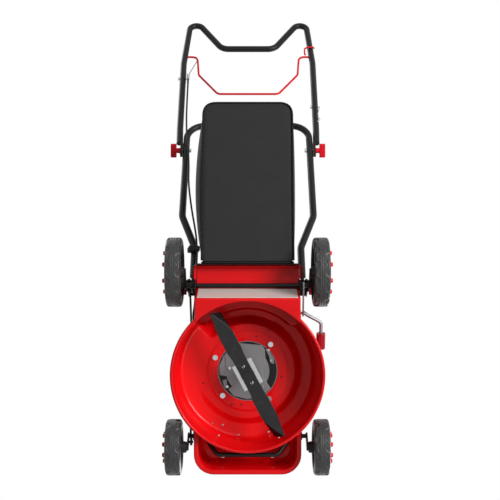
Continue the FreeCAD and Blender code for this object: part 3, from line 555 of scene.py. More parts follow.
def channel_roof(turn):
    """Height of the channel's roof; turn is in degrees from the left side towards the front."""
    for (turn_0, z_0), (turn_1, z_1) in zip(CHANNEL, CHANNEL[1:]):
        if turn <= turn_1:
            share = (turn - turn_0) / (turn_1 - turn_0)
            return z_0 + (z_1 - z_0) * (smooth_step(share) if z_1 < z_0 else share)
    return CHANNEL[-1][1]


def skirt_radius(z):
    """The skirt leans in a little, so that the press can let go of it."""
    return RIM_R - DRAFT * (z - RIM_Z) / (TOP_Z - RIM_Z)


def pan_section(turn):
    """Points (radius, z) from the engine's opening over plate, ring, wall and roof to the skirt."""
    roof = channel_roof(turn)
    side = roof - BEND_R                              # where the roof's bend becomes the skirt
    bend_r = skirt_radius(side) - BEND_R
    roof_from = WALL_FROM + WALL_RUN
    points = [(85, 155), (85.5, 152.8), (87.5, PLATE_Z), (RING_FROM, PLATE_Z)]
    points += [(RING_FROM + 2 * k, PLATE_Z + (RING_Z - PLATE_Z) * smooth_step(k / 4))
               for k in range(1, 5)]
    points += [(RING_TO, RING_Z)]
    points += [(WALL_FROM + WALL_RUN * k / 12, RING_Z + (roof - RING_Z) * smooth_step(k / 12))
               for k in range(13)]
    points += [(roof_from + (bend_r - roof_from) * k / 3, roof) for k in (1, 2)]
    points += [(bend_r + BEND_R * math.sin(a), side + BEND_R * math.cos(a))
               for a in arc_angles(0, 11.25, 9)]
    points += [(skirt_radius(z), z) for z in (side + (55 - side) * k / 5 for k in range(1, 6))]
    points += [(RIM_R + ROLL_R + ROLL_R * math.cos(a), RIM_Z + ROLL_R + ROLL_R * math.sin(a))
               for a in arc_angles(180, 24, 12)]
    return points


# %% [markdown]
# Where the chute leaves the pan, the pan's skirt and roof are cut away. Bisecting planes put clean
# edges along the cut first, so that only whole faces have to go.

# %% Pan
CHUTE_HALF = 146                                      # half of the chute's width
CUT_X = CHUTE_HALF - 1.5                              # the cut hides just inside the chute's wall
EDGE_Y, EDGE_LEAN = 124, 22                           # front edge of the cut at TOP_Z, and its lean
KEPT_R = 176                                          # nothing nearer to the axis is cut


def around(radius, turn, z):
    """A point of the pan, at a radius and an angle as channel_roof counts it."""
    a = math.radians(turn)
    return place(radius * math.cos(a), -radius * math.sin(a), z)


bm = bmesh.new()
rows = [[around(r, turn, z) for r, z in pan_section(turn)] for turn in range(-120, 240, 2)]
grid_faces(bm, rows, closed=True)
for point, normal in ((place(-CUT_X, 0, 0), (1, 0, 0)), (place(CUT_X, 0, 0), (1, 0, 0)),
                      (place(0, EDGE_Y, TOP_Z), (0, TOP_Z - RIM_Z, EDGE_LEAN))):
    bmesh.ops.bisect_plane(bm, geom=bm.verts[:] + bm.edges[:] + bm.faces[:], plane_co=point,
                           plane_no=normal, dist=1e-6)
gone = []
for face in bm.faces:
    x, y, z = (face.calc_center_median() - place(0, 0, 0)) / MM
    behind_the_edge = y > EDGE_Y + (TOP_Z - z) * EDGE_LEAN / (TOP_Z - RIM_Z)
    if behind_the_edge and math.hypot(x, y) > KEPT_R and abs(x) < CUT_X:
        gone.append(face)
bmesh.ops.delete(bm, geom=gone, context="FACES")
bmesh.ops.recalc_face_normals(bm, faces=bm.faces)
turn_over_if(max(bm.faces, key=lambda f: f.calc_area()).normal.z > 0, bm)
piece("deck_pan", bm, "red_enamel", "deck", replaces=["deck_shell"], thick=2)

# %% [markdown]
# The chute is folded from flat sheet, so it is made panel by panel from its outline, and its folds
# are beveled. The bottom panel ends in an arc that runs along the pan's rim.

# %% Chute
OUTLINE = ((146, 45), (213, 45), (235, 128), (304, 140), (304, 236), (252, 236), (246, 222),
           (124, 222))                                # y and z of the side, from the pan's rim on

bm = bmesh.new()
left, right = ([bm.verts.new(place(side * CHUTE_HALF, y, z)) for y, z in OUTLINE]
               for side in (1, -1))
arc = [bm.verts.new(place(x, math.sqrt(RIM_R ** 2 - x ** 2), RIM_Z))
       for x in range(143, -144, -11)]
bm.faces.new(left)
bm.faces.new(right[::-1])
bm.faces.new([left[1], left[0]] + arc + [right[0], right[1]])
for k in (1, 2, 4, 5, 6):                             # side 3 of the outline is the open mouth
    bm.faces.new((left[k + 1], left[k], right[k], right[k + 1]))
bmesh.ops.recalc_face_normals(bm, faces=bm.faces)
across = [e for e in bm.edges if len(e.link_faces) == 2
          and abs(e.verts[0].co.x - e.verts[1].co.x) > CHUTE_HALF * MM]
bevel(bm, across, 7, 4)
folds = [e for e in bm.edges if len(e.link_faces) == 2 and e.calc_face_angle() > 1.0]
bevel(bm, folds, 3.5)
widest = max((f for f in bm.faces if abs(f.normal.z) > 0.9), key=lambda f: f.calc_area())
turn_over_if(widest.normal.z * (widest.calc_center_median().z - 0.15) < 0, bm)
bmesh.ops.triangulate(bm, faces=[f for f in bm.faces if len(f.verts) > 8])
piece("deck_chute", bm, "red_enamel", "deck", thick=2, flats=True)

# %% [markdown]
# The front apron is a shallow tray that is welded to the front of the pan. Its wall follows a U in
# plan, so the U is worked out once and repeated at each height, set in or out by the wall's draft,
# the bend at the roof and the rolled lip; faces are then laid between the rows.

# %% Front apron
TRAY_HALF, TRAY_NOSE, TRAY_CORNER = 136, 264, 42      # half width, nose and corner radius of the U
DROP_FROM, DROP = 150, 0.146                          # the roof falls towards the nose from here on
WELD_R = 199                                          # where the roof meets the pan


def dropped(x, y, z, lean=1.0):
    """A point of the tray, lowered towards the nose; lean says by how much of the roof's fall."""
    return place(x, y, z - lean * (-y - DROP_FROM) * DROP)


def apron_row(inset, z, lean):
    """The U at one height; inset moves it inwards."""
    half, front, corner = TRAY_HALF - inset, TRAY_NOSE - inset, TRAY_CORNER - min(inset, 20)
    back = math.sqrt(max((skirt_radius(min(z, 150)) + 1) ** 2 - half ** 2, 0))
    points = [(half, -back), (half, -(back + front - corner) / 2)]
    points += [(half - corner + corner * math.cos(a), -(front - corner + corner * math.sin(a)))
               for a in arc_angles(0, 11.25, 9)]
    points.append((0, -front))
    points += [(-x, y) for x, y in points[-2::-1]]
    return [dropped(x, y, z, lean) for x, y in points]


# each row of the section is (inset, z, lean): rolled lip, wall, bend up to the roof
section = [(-10, 75, 0), (-12.5, 73.5, 0), (-13, 71.5, 0), (-11.5, 70, 0), (-3, 70, 0),
           (-1, 70.6, 0), (0, 72, 0)]
section += [(1 + 2 * k / 4, 80 + 50 * k / 4, k / 4) for k in range(5)]
section += [(3 + 16 * (1 - math.cos(a)), 145 + 16 * math.sin(a), 1) for a in arc_angles(0, 15, 7)]
bm = bmesh.new()
inner = grid_faces(bm, [apron_row(*row) for row in section])[-1]
arc = [bm.verts.new(dropped(x, -math.sqrt(WELD_R ** 2 - x ** 2), 161))
       for x in range(-104, 112, 13)]
roof = bm.faces.new(inner + arc)
bmesh.ops.triangulate(bm, faces=[roof])
bmesh.ops.recalc_face_normals(bm, faces=bm.faces)
flattest = max(bm.faces, key=lambda f: abs(f.normal.z) * f.calc_area())
turn_over_if(flattest.normal.z > 0, bm)
piece("front_tray", bm, "red_enamel", "deck", replaces=["front_apron"],
      thick=1.8)

# %% [markdown]
# The rear of the chute's floor ends in a rolled lip, a bar bent round three sides of the mouth.

# %% Rolled lip around the chute's mouth
LIP_HALF, LIP_R = 151, 4.3
LIP_FRONT, LIP_REAR = (263, 137), (299.3, 135.5)      # y and z where the lip starts and turns

bm = bmesh.new()
corners = [place(LIP_HALF, *LIP_FRONT), place(LIP_HALF, *LIP_REAR),
           place(-LIP_HALF, *LIP_REAR), place(-LIP_HALF, *LIP_FRONT)]
tube(bm, rounded_path(corners, 9), LIP_R, 16)
piece("mouth_lip", bm, "red_enamel", "deck")

# %% [markdown]
# The blade is a bar of spring steel. Its middle is raised to the holder, and a fold from each tip
# to the trailing edge turns a wing upwards, which lifts the grass. It is a grid of points over the
# bar's plan, with the height worked out for each point, so that the folds come out soft, as in
# pressed steel.

# %% Blade
BLADE_TURN = math.radians(62)
BLADE_HALF, BLADE_HALF_WIDTH = 199, 21.5
BLADE_Z, BLADE_DROP = 68, 8                           # lower side at the holder; fall outside it
FOLD_POINT, FOLD_ACROSS = (130, 20), (0.407, 0.913)   # the wing's fold: a point, and its normal
WING_RISE = 0.85                                      # height gained per mm past the wing's fold


def on_blade(s, w, z):
    """A point s along the blade and w across it, in millimetres."""
    return place(s * math.cos(BLADE_TURN) - w * math.sin(BLADE_TURN),
                 s * math.sin(BLADE_TURN) + w * math.cos(BLADE_TURN), z)


def blade_point(s_share, w_share):
    """A point of the blade's lower side; both shares run from -1 to 1."""
    flip = 1 if s_share >= 0 else -1
    edge = w_share * flip                             # 1 is the trailing edge of this half
    s = abs(s_share) * (BLADE_HALF - 5 * (edge + 1))
    taper = smooth_step((s - 120) / 80)               # both edges lean back towards the tip
    waist = 3 * (1 - smooth_step((s - 50) / 30))      # the bar is narrower at the holder
    w = edge * (BLADE_HALF_WIDTH - waist) + (8 * taper if edge < 0 else -7 * taper) * abs(edge)
    z = BLADE_Z - BLADE_DROP * smooth_step((s - 45) / 17)
    past_fold = (s - FOLD_POINT[0]) * FOLD_ACROSS[0] + (w - FOLD_POINT[1]) * FOLD_ACROSS[1]
    z += WING_RISE * max(0.0, past_fold)
    return on_blade(flip * s, flip * w, z)


bm = bmesh.new()
grid_faces(bm, [[blade_point(a / 60, b / 8) for b in range(-8, 9)] for a in range(-60, 61)])
bmesh.ops.recalc_face_normals(bm, faces=bm.faces)
turn_over_if(sum(f.normal.z for f in bm.faces) > 0, bm)
blade = piece("cutting_blade", bm, "blade_paint", "crank", replaces=["blade"],
              thick=4, sharp=50)
rounding = blade.modifiers.new("edges", "BEVEL")
rounding.width = 0.8 * MM
rounding.segments = 2
rounding.angle_limit = math.radians(50)

# %% Ends of the holder's two pins
bm = bmesh.new()
for s in (-25, 25):
    tube(bm, [on_blade(s + 3.4 * math.cos(a), 3.4 * math.sin(a), 67.7)
              for a in arc_angles(40, 20, 15)], 0.8, 8)
piece("blade_pins", bm, "zinc_plate", "crank")

# %% [markdown]
# Through the plate's opening the engine's underside shows: a cast cover with a fin or two, a flat
# black disc behind it that is painted shade for the dark gap round it, and the screws that hold the
# cover. Each is an outline that is extruded and beveled.

# %% Engine's underside
PLUG_R = 83                                           # just inside the opening of the plate
SEAT_Z = 153.5                                        # where the castings end at the plate
CASTINGS = (                                          # outline, lowest and highest z, bevel
    (((50, 66), (30, 80), (-40, 74), (-49, 62), (-52, 26), (-40, 4), (-46, -20), (-66, -50),
      (-44, -69), (0, -81), (40, -71), (56, -52), (38, -38), (57, -16), (80, -12), (82, 12),
      (70, 42)), 146.6, SEAT_Z, 2),
    (((64, 44), (34, 50), (26, 26), (36, 6), (62, 8)), 143.5, 147, 1.5),
    (((-58, 64), (-74, 36), (-76, 20), (-66, 22), (-60, 44), (-50, 62)), 148, SEAT_Z, 1),
    (((-54, 10), (-50, 12), (-46, -36), (-50, -38)), 147.5, SEAT_Z, 0.8),
    (((72, -26), (66, -50), (58, -48), (60, -24)), 150, SEAT_Z, 0.8),
)
SCREWS = ((58, -44.5, 4.5, 147), (-44, -43, 3.5, 143.5), (51, 9, 5, 141.5), (-60, 60, 3.5, 147),
          (-66, 30, 3, 147))                          # x, y, radius and height of each


def extruded(bm, outline, z_low, z_high, width, segments=2):
    """A prism with the outline (x, y) between two heights, its edges beveled."""
    base = bm.faces.new([bm.verts.new(place(x, y, z_low)) for x, y in outline])
    raised = bmesh.ops.extrude_face_region(bm, geom=[base])
    new = [v for v in raised["geom"] if isinstance(v, bmesh.types.BMVert)]
    bmesh.ops.translate(bm, verts=new, vec=(0, 0, (z_high - z_low) * MM))
    edges = {e for v in new for e in v.link_edges} | set(base.edges)
    bmesh.ops.recalc_face_normals(bm, faces=bm.faces)
    bevel(bm, edges, width, segments)


# A black disc across the opening: painted shade for the gap round the engine's cover.
bm = bmesh.new()
extruded(bm, [(PLUG_R * math.cos(a), PLUG_R * math.sin(a)) for a in arc_angles(0, 6, 60)],
         153.2, 153.9, 0.2, 1)
piece("engine_painted_shade_disc", bm, "black_powder", "deck")

bm = bmesh.new()
for casting in CASTINGS:
    extruded(bm, *casting)
piece("engine_base", bm, "cast_metal", "deck", sharp=30, flats=True)

bm = bmesh.new()
for x, y, radius, z in SCREWS:
    where = Matrix.Translation(place(x, y, z + 1.5)) @ Matrix.Diagonal((MM, MM, MM, 1))
    bmesh.ops.create_cone(bm, cap_ends=True, segments=6, radius1=radius * 0.92, radius2=radius,
                          depth=4, matrix=where)
piece("engine_screws", bm, "zinc_plate", "deck")

# %% [markdown]
# Pan-head bolts hold the front tray and the axle to the pan. A sphere that is pressed flat is close
# to such a head; each one sits on the sheet, at the height of the pan's section there. The small
# dark spots are holes that this engine leaves unused; each is a thin black disc on the sheet,
# painted shade for the dark inside of the hole.

# %% Bolts in the pan, and painted shade in its holes
PAN_BOLTS = ((73, -160, 3.6), (82, -180, 3), (26, -185, 3), (-60, -178, 4), (-88, -180, 3),
             (100, -150, 2.5))                        # x, y and radius of each
PAN_HOLES = ((127, -36), (-97, -17), (17, -96), (46, -96), (-24, 98), (-60, 118))
BOLT_HEIGHT = 2.4
DOWN = Vector((0, 0, -1))


def head(bm, centre, radius, height):
    """A flattened sphere that points down."""
    turn = Vector((0, 0, 1)).rotation_difference(DOWN).to_matrix().to_4x4()
    size = Matrix.Diagonal((radius * MM, radius * MM, height * MM, 1))
    bmesh.ops.create_uvsphere(bm, u_segments=16, v_segments=10, radius=1,
                              matrix=Matrix.Translation(centre) @ turn @ size)


bm = bmesh.new()
for x, y, radius in PAN_BOLTS:
    turn = math.degrees(math.atan2(-y, x)) % 360
    turn = turn - 360 if turn > 240 else turn
    reach = math.hypot(x, y)
    on_roof = [(r, z) for r, z in pan_section(turn) if 150 < r < 204]
    r, z = min(on_roof, key=lambda p: abs(p[0] - reach))
    head(bm, around(r, turn, z), radius, BOLT_HEIGHT)
piece("pan_bolts", bm, "zinc_plate", "deck")

# Thin black discs: painted shade where the pan has holes.
bm = bmesh.new()
for x, y in PAN_HOLES:
    sheet_z = PLATE_Z if math.hypot(x, y) < RING_FROM + 2 else RING_Z
    head(bm, place(x, y, sheet_z - 0.1), 2.6, 0.5)
piece("pan_hole_painted_shade", bm, "black_powder", "deck")

# %% [markdown]
# ## Tyres
# A tyre is a section that is spun about its axle, but its tread changes with the angle: shallow
# zigzag grooves and oval hollows on both shoulders. So the section is spun at small steps first,
# and then each point of the tread sinks by what a function says for its place. The hollows have
# soft edges, as moulded rubber has.

# %% Tyres
TYRE_SECTION = ((-19, 1), (-22, 3), (-22, 9), (-21.6, 14), (-20, 18.2), (-17.5, 20.6))
SIDE_HEIGHT = 22                                      # height of the tyre over its seat
TREAD_HALF, TREAD_ROUND = 16, 0.0022                  # half width, and how round it is across
TREAD_PITCH = 47                                      # length of one repeat, before it is rounded
SPIN_STEPS = 288
GROOVE_DEPTH, ARC_DEPTH, OVAL_DEPTH = 0.5, 1.2, 2.8   # of the three shapes in the tread
GROOVE_X = 2.5                                        # distance of the two grooves from the middle
OVAL_X, OVAL_HALF = 18, 11.5                          # middle of an oval, and half its width
ARC_X, ARC_R = 4, 9                                   # middle of an arc, and its radius
DEEPEST = 3                                           # no hollow is deeper


def hollow(x, run, pitch):
    """Depth of the tread in millimetres at x across the tyre, and run along its round."""
    depth = GROOVE_DEPTH * (1 - smooth_step((abs(abs(x) - GROOVE_X) - 0.4) / 0.9))
    for side in (-1, 1):
        along = ((run / pitch + (0.25 if side > 0 else 0.75)) % 1.0 - 0.5) * pitch
        oval = math.hypot((x - side * OVAL_X) / OVAL_HALF, along / (pitch * 0.25))
        depth = max(depth, OVAL_DEPTH * (1 - smooth_step((oval - 0.78) / 0.2)))
        from_next = along - math.copysign(pitch * 0.5, along)
        if side * x > 5:
            arc = abs(math.hypot(x - side * ARC_X, from_next) - ARC_R)
            depth = max(depth, ARC_DEPTH * (1 - smooth_step((arc - 0.5) / 1.0)))
    return depth


def tyre(name, body):
    """Spins the section round the middle of the plain tyre, and sinks the tread."""
    low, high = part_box("tyre_" + name)
    centre = (low + high) / 2
    radius = (high.z - low.z) / 2 / MM
    pitch = 2 * math.pi * radius / round(2 * math.pi * radius / TREAD_PITCH)
    shoulder = [(x, radius - SIDE_HEIGHT + r) for x, r in TYRE_SECTION]
    tread = [(x, radius - TREAD_ROUND * x * x - 0.35) for x in range(-TREAD_HALF, TREAD_HALF + 1)]
    section = shoulder + tread + [(-x, r) for x, r in reversed(shoulder)]
    bm = bmesh.new()
    ring = [bm.verts.new(centre + Vector((x, r, 0)) * MM) for x, r in section]
    edges = [bm.edges.new(pair) for pair in zip(ring, ring[1:] + ring[:1])]
    bmesh.ops.spin(bm, geom=ring + edges, cent=centre, axis=(1, 0, 0), dvec=(0, 0, 0),
                   angle=2 * math.pi, steps=SPIN_STEPS, use_merge=True)
    for v in bm.verts:
        x, y, z = (v.co - centre) / MM
        reach = math.hypot(y, z)
        if reach > radius - DEEPEST:
            run = math.atan2(z, y) % (2 * math.pi) * radius
            v.co -= Vector((0, y, z)) * (hollow(x, run, pitch) / reach * MM)
    bmesh.ops.recalc_face_normals(bm, faces=bm.faces[:])
    return piece("tread_" + name, bm, "tyre_rubber", body, replaces=["tyre_" + name],
                 sharp=60)


WHEELS = ("front_left", "front_right", "rear_left", "rear_right")
for name in WHEELS:
    tyre(name, name + "_wheel")

# %% [markdown]
# ## Knobs and wire parts
# A clamping knob is moulded in one piece: a round stem, and a bar with soft corners to turn it by.
# The bar is a cube with its edges beveled in two passes, first the corners seen from the side and
# then all the rest, since a moulded part has a large radius where it is held and a small one
# elsewhere.

# %% Clamping knobs
STEM_R, COLLAR_R = 8.5, 9
KNOB_LENGTH, KNOB_HEIGHT = 46, 18.5


def rounded_cube(bm, where, size, corner, edge):
    """A block of a size in mm; corner rounds the edges along X, edge all the others."""
    faces = {f for v in block(bm, where, size) for f in v.link_faces}
    long = [e for e in {e for f in faces for e in f.edges}
            if abs((e.verts[0].co - e.verts[1].co).normalized().x) > 0.9]
    rounded = bevel(bm, long, corner, 5)
    near = {e for f in rounded["faces"] for e in f.edges if e.is_valid}
    linked = {f for e in near for f in e.link_faces}
    sharp = {e for f in linked for e in f.edges if e.calc_face_angle(0) > math.radians(50)}
    bevel(bm, sharp, edge, 2)


def knob(name, centre, side, finish_name, stem_from, bar_from, bar_to):
    """A knob that stands across the mower; distances are from its middle plane, in mm."""
    bm = bmesh.new()
    across = Matrix.Rotation(math.pi / 2, 4, "Y")
    for low, high, radius in ((stem_from, bar_from + 2, STEM_R),
                              (stem_from, stem_from + 5, COLLAR_R)):
        middle = Vector((side * (low + high) / 2 * MM, centre.y, centre.z))
        bmesh.ops.create_cone(bm, cap_ends=True, segments=32, radius1=radius * MM,
                              radius2=radius * MM, depth=(high - low) * MM,
                              matrix=Matrix.Translation(middle) @ across)
    middle = Vector((side * (bar_from + bar_to) / 2 * MM, centre.y, centre.z))
    rounded_cube(bm, Matrix.Translation(middle), (bar_to - bar_from, KNOB_LENGTH, KNOB_HEIGHT),
                 KNOB_HEIGHT * 0.42, 2)
    return piece(name.replace("knob", "clamp"), bm, finish_name, name, replaces=[name],
                 flats=True)


for side_name, side in (("left", 1), ("right", -1)):
    knob("upper_knob_" + side_name, upper_pivot, side, "red_plastic", 224.4, 236.5, 255.6)
    knob("lower_knob_" + side_name, lower_pivot, side, "dark_red_plastic", 172.4, 179.5, 195.8)

# %% [markdown]
# The bail is one stiff wire. Its ends turn in the two tubes, and its middle is the bar that a hand
# holds. On the right a hook of the same wire turns up along the tube, and over it to its outer
# side.

# %% Bail and its hook
BAIL_T = 1036                                         # how far up the handle the bail turns
BAIL_R, HOOK_R = 3.7, 2.9                             # radius of each wire

bm = bmesh.new()
hook_path = along_handle((-209, 1040.7, -5.2), (-205, 1044.5, -6.5), (-205, 1069, -10),
                         (-215, 1073, -14.6), (-236, 1074, -14.4), (-240, 1074, -9))
tube(bm, rounded_path(hook_path, 5), HOOK_R, 14)
piece("bail_hook", bm, "red_wire", "upper_handle", sharp=60)

bm = bmesh.new()
half_bail = along_handle((232, BAIL_T), (184, BAIL_T), (176, 938), (106, 838))
other_half = [Vector((-p.x, p.y, p.z)) for p in reversed(half_bail)]
tube(bm, rounded_path(half_bail + other_half, 24, 8), BAIL_R, 16)
piece("bail_wire", bm, "red_wire", "bail", replaces=["bail"], sharp=60)

# %% [markdown]
# A ring of wire on the right tube guides the starter's rope. It is a pin through the tube, a stem
# and a ring that is turned from the stem's own wire.

# %% Rope ring
PIN_T = 771                                           # how far up the handle the pin stands
RING_WIRE_R, RING_R = 1.3, 9.5

bm = bmesh.new()
tube(bm, along_handle((-218, PIN_T), (-247, PIN_T)), 3, 16)
tube(bm, along_handle((-214.5, PIN_T), (-219, PIN_T)), 6, 16)
tube(bm, smooth_line(along_handle((-245, PIN_T), (-245.5, 760, -2), (-239, 735, -6),
                                  (-235, 711.5, -8))), RING_WIRE_R, 10)
ring_middle = on_handle(-235, 702, -8)
ring = [ring_middle + (Vector((math.cos(a), 0, 0)) + slope * math.sin(a)) * RING_R * MM
        for a in (2 * math.pi * (k / 40) + math.pi / 2 for k in range(41))]
tube(bm, ring, RING_WIRE_R, 10)
piece("rope_ring", bm, "zinc_plate", "upper_handle", replaces=["rope_guide"],
      sharp=50)

# %% [markdown]
# ## The grass bag
# The bag is a sewn shell of woven cloth over a wire frame, with a stiff board in its bottom. The
# shell starts as its side's outline, extruded across and rounded. A voxel remesh gives it an even
# skin, which a cloth simulation can move.

# %% Bag shell
BAG_SIDE = ((313.6, 101), (776, 199.5), (741, 449), (313.6, 234))   # y and z of the side's corners
BAG_HALF = 131.0                                      # half of the bag's width
VOXEL = 6
BOARD_RUN = 459                                       # the board rises over this length


def board_z(y):
    """Height of the bag's bottom board."""
    (front_y, front_z), (_, rear_z) = BAG_SIDE[:2]
    return front_z + (y - front_y) * (rear_z - front_z) / BOARD_RUN


def evaluated(thing):
    """The mesh of an object after its modifiers."""
    graph = bpy.context.evaluated_depsgraph_get()
    return bpy.data.meshes.new_from_object(thing.evaluated_get(graph))


bm = bmesh.new()
side_face = bm.faces.new([bm.verts.new(place(-BAG_HALF, y, z)) for y, z in BAG_SIDE])
raised = bmesh.ops.extrude_face_region(bm, geom=[side_face])
bmesh.ops.translate(bm, verts=[v for v in raised["geom"] if isinstance(v, bmesh.types.BMVert)],
                    vec=(2 * BAG_HALF * MM, 0, 0))
bmesh.ops.recalc_face_normals(bm, faces=bm.faces)
uprights = [e for e in bm.edges if all(v.co.y > place(0, 700, 0).y for v in e.verts)
            and abs(e.verts[0].co.x - e.verts[1].co.x) < 1e-6]
bevel(bm, uprights, 34, 6)
bevel(bm, [e for e in bm.edges if e.calc_face_angle(0) > math.radians(40)
           and max(v.co.y for v in e.verts) > place(0, 400, 0).y], 5)
mesh = bpy.data.meshes.new("bag_start")
bm.to_mesh(mesh)
bm.free()
shell = add_object("bag_start", mesh)
skin = shell.modifiers.new("skin", "REMESH")
skin.mode = "VOXEL"
skin.voxel_size = VOXEL * MM
even = evaluated(shell)
shell.modifiers.remove(skin)
shell.data = even
print("bag skin:", len(even.vertices), "points")

# %% [markdown]
# A little air pressure makes the panels swell between the seams. The seams are pinned by a vertex
# group, as are the board and the mouth. The simulation runs for twenty frames, and the moves of
# all points are kept.

# %% Air in the bag
PRESSURE, FRAMES = 4.0, 20
SEAM = 9                                              # held strip along the seams and the board
MOUTH_Y = 326                                         # everything in front of this is held

start_points = [v.co.copy() for v in even.vertices]
held = shell.vertex_groups.new(name="held")
for v, normal in zip(even.vertices, [n.vector.copy() for n in even.vertex_normals]):
    y = (v.co.y - blade_axis_y) / MM
    z = v.co.z / MM
    near_board = z < board_z(y) + SEAM
    near_mouth = y < MOUTH_Y
    seam = abs(v.co.x) > (BAG_HALF - SEAM) * MM and abs(normal.x) < 0.85
    held.add([v.index], 1.0 if near_board or near_mouth or seam else 0.0, "REPLACE")
cloth = shell.modifiers.new("air", "CLOTH")
cloth.settings.use_pressure = True
cloth.settings.uniform_pressure_force = PRESSURE
cloth.settings.effector_weights.gravity = 0.0
cloth.settings.vertex_group_mass = "held"
cloth.settings.quality = 4
for number in range(1, FRAMES + 1):
    bpy.context.scene.frame_set(number)
blown = evaluated(shell)
shell.modifiers.remove(cloth)
bpy.context.scene.frame_set(1)
moved = [b.co - a for a, b in zip(start_points, blown.vertices)]
print("air moves the cloth by up to", round(max(m.length for m in moved) * 1000, 1), "mm")

# %% [markdown]
# How far the air may move a point is capped, and the sides get a belly of their own on top of it.
# The left side is slacker than the right one, as on a bag that was folded for the carton. Then the
# mouth is cut open, and one pass of smoothing softens the corners.

# %% Bag with its slack side
PUSH_CAP = 6                                          # most that the air moves a point
LEFT_BELLY, RIGHT_BELLY = 18.0, 3.0                   # most that each side swells besides
BELLY_FROM, BELLY_RUN = 318, 430                      # where along the bag the belly lies
LID_FRONT, LID_RISE = (315, 233), 0.507               # y and z of the lid's front, and its slope


def bump_between(share):
    """0 at both ends of a run, 1 in its middle."""
    return max(0.0, math.sin(math.pi * min(1.0, max(0.0, share))))


bm = bmesh.new()
bm.from_mesh(even)
bpy.data.objects.remove(shell)
bm.verts.ensure_lookup_table()
for v, push in zip(bm.verts, moved):
    y = (v.co.y - blade_axis_y) / MM
    z = v.co.z / MM
    along_side = bump_between((y - BELLY_FROM) / BELLY_RUN)
    lid_z = LID_FRONT[1] + (y - LID_FRONT[0]) * LID_RISE
    up_side = bump_between((z - board_z(y)) / (lid_z - board_z(y)))
    belly = LEFT_BELLY if v.co.x > 0 else RIGHT_BELLY
    swell = Vector()
    if abs(v.co.x) > (BAG_HALF - 1.5) * MM:
        swell.x = math.copysign(belly * MM * along_side * up_side ** 0.6, v.co.x)
    v.co += push * min(1.0, PUSH_CAP * MM / max(push.length, 1e-9)) + swell
opening = [f for f in bm.faces if f.normal.y < -0.9 and abs(f.calc_center_median().x) < 0.122
           and 0.148 < f.calc_center_median().z < 0.226]
bmesh.ops.delete(bm, geom=opening, context="FACES")
bmesh.ops.smooth_vert(bm, verts=bm.verts[:], factor=0.5, use_axis_x=True, use_axis_y=True,
                      use_axis_z=True)
piece("bag_shell", bm, "bag_cloth", "grass_bag", replaces=["grass_bag"],
      sharp=70, thick=1.5)

# %% [markdown]
# A piping covers the seam round the board and the one round the lid.

# %% Piping
PIPING_HALF, PIPING_FRONT = BAG_HALF - 1.6, 316
PIPINGS = (("board", 99.5, 773, 197.3), ("lid", 235, 738, 450))   # front z, rear y and rear z

for name, front_z, rear_y, rear_z in PIPINGS:
    corners = [place(PIPING_HALF, PIPING_FRONT, front_z), place(PIPING_HALF, rear_y, rear_z),
               place(-PIPING_HALF, rear_y, rear_z), place(-PIPING_HALF, PIPING_FRONT, front_z)]
    bm = bmesh.new()
    tube(bm, rounded_path(corners, 38, 10), 2.4, 8)
    piece("piping_" + name, bm, "piping_cloth", "grass_bag", sharp=60)

# %% [markdown]
# A clip of black plastic holds the cable to the left leg. It wraps both, and has a rounded ear on
# each side.

# %% Cable clip
CLIP_T = 133                                          # how far up the handle the clip sits
CLIP_BLOCKS = ((163.5, -12, (30, 22, 14)), (149, -14, (9, 16, 12)), (178, -8, (9, 16, 12)))

bm = bmesh.new()
along_leg = Matrix((Vector((1, 0, 0)), slope, lift)).transposed().to_4x4()
for x, h, size in CLIP_BLOCKS:
    where = Matrix.Translation(on_handle(x, CLIP_T, h)) @ along_leg
    bevel(bm, {e for v in block(bm, where, size) for e in v.link_edges}, 3)
piece("leg_clip", bm, "black_plastic", "lower_handle", replaces=["cable_clip"],
      flats=True)

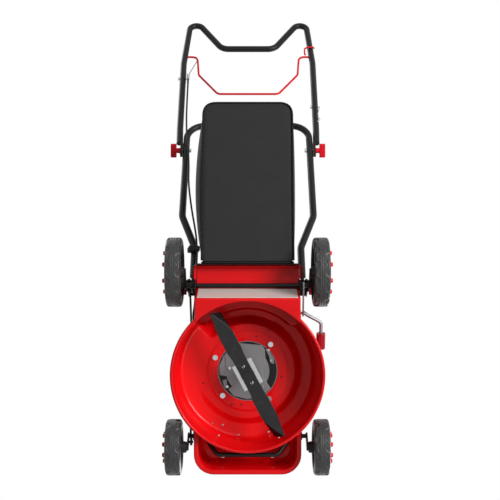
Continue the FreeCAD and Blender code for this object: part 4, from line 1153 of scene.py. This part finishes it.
# %% [markdown]
# ## CAD solids that keep their own shape
# Bolts, axles, brackets and the engine's castings are right as they came, apart from edges that are
# too sharp and a plain look. Their points stay where they are: a Weld modifier joins the split
# points along each edge, and a Bevel modifier rounds every edge by a fraction of a millimetre. A
# table says which finish each solid gets, and how wide its bevel is.

# %% Dress the CAD solids
DRESS = (
    # The rear deflector gets the pale finish that paints a reflection of white light on its red
    # flange.
    ("strip_painted_reflection", 0.3, "rear_deflector"),
    ("black_powder", 0.7, "handle_brackets height_sector rear_axle front_axle link_rod"),
    ("black_powder", 0.7, "door_hinge_rod"),
    ("black_powder", 0.5, "lower_handle upper_handle bag_frame"),
    ("black_plastic", 0.8, "axle_bushes"),
    ("zinc_plate", 0.5, "engine_bolts deck_bolts joint_bolts cable_bracket"),
    ("lever_plate", 0.5, "height_lever"),
    ("cast_metal", 1.0, "engine_block cylinder_head carburettor flywheel"),
    ("machined_metal", 0.6, "crankshaft blade_holder"),
    ("blade_paint", 0.6, "blade_bolt"),
    ("black_plastic", 1.5, "blower_housing air_filter_cover spark_plug fuel_cap"),
    ("black_plastic", 1.5, "starter_grip dipstick"),
    ("red_plastic", 1.5, "recoil_cover"),
    ("dull_steel", 0.8, "muffler"),
    ("tank_plastic", 1.5, "fuel_tank"),
    ("dark_red_plastic", 1.5, "lever_grip"),
    ("red_enamel", 0.6, "rear_door"),
    ("black_plastic", 0.8, " ".join("wheel_disc_" + wheel for wheel in WHEELS)),
    ("red_plastic", 1.2, " ".join("hub_cap_" + wheel for wheel in WHEELS)),
)


def dress(node_name, finish_name, width):
    """Gives a CAD solid its finish and rounds its edges by a width in millimetres."""
    node = frame["nodes"][node_name]
    node.data.materials.clear()
    node.data.materials.append(finishes[finish_name])
    node.data.polygons.foreach_set("material_index", [0] * len(node.data.polygons))
    if "custom_normal" in node.data.attributes:
        node.data.attributes.remove(node.data.attributes["custom_normal"])
    node.data.shade_smooth()
    weld = node.modifiers.new("weld", "WELD")
    weld.merge_threshold = 0.02 * MM
    rounding = node.modifiers.new("rounding", "BEVEL")
    rounding.width = width * MM
    rounding.segments = 2
    rounding.limit_method = "ANGLE"
    rounding.angle_limit = math.radians(35)
    rounding.harden_normals = True


dressed = [(name, look, width) for look, width, names in DRESS for name in names.split()]
for name, look, width in dressed:
    dress(name, look, width)
print("dressed CAD solids:", len(dressed))
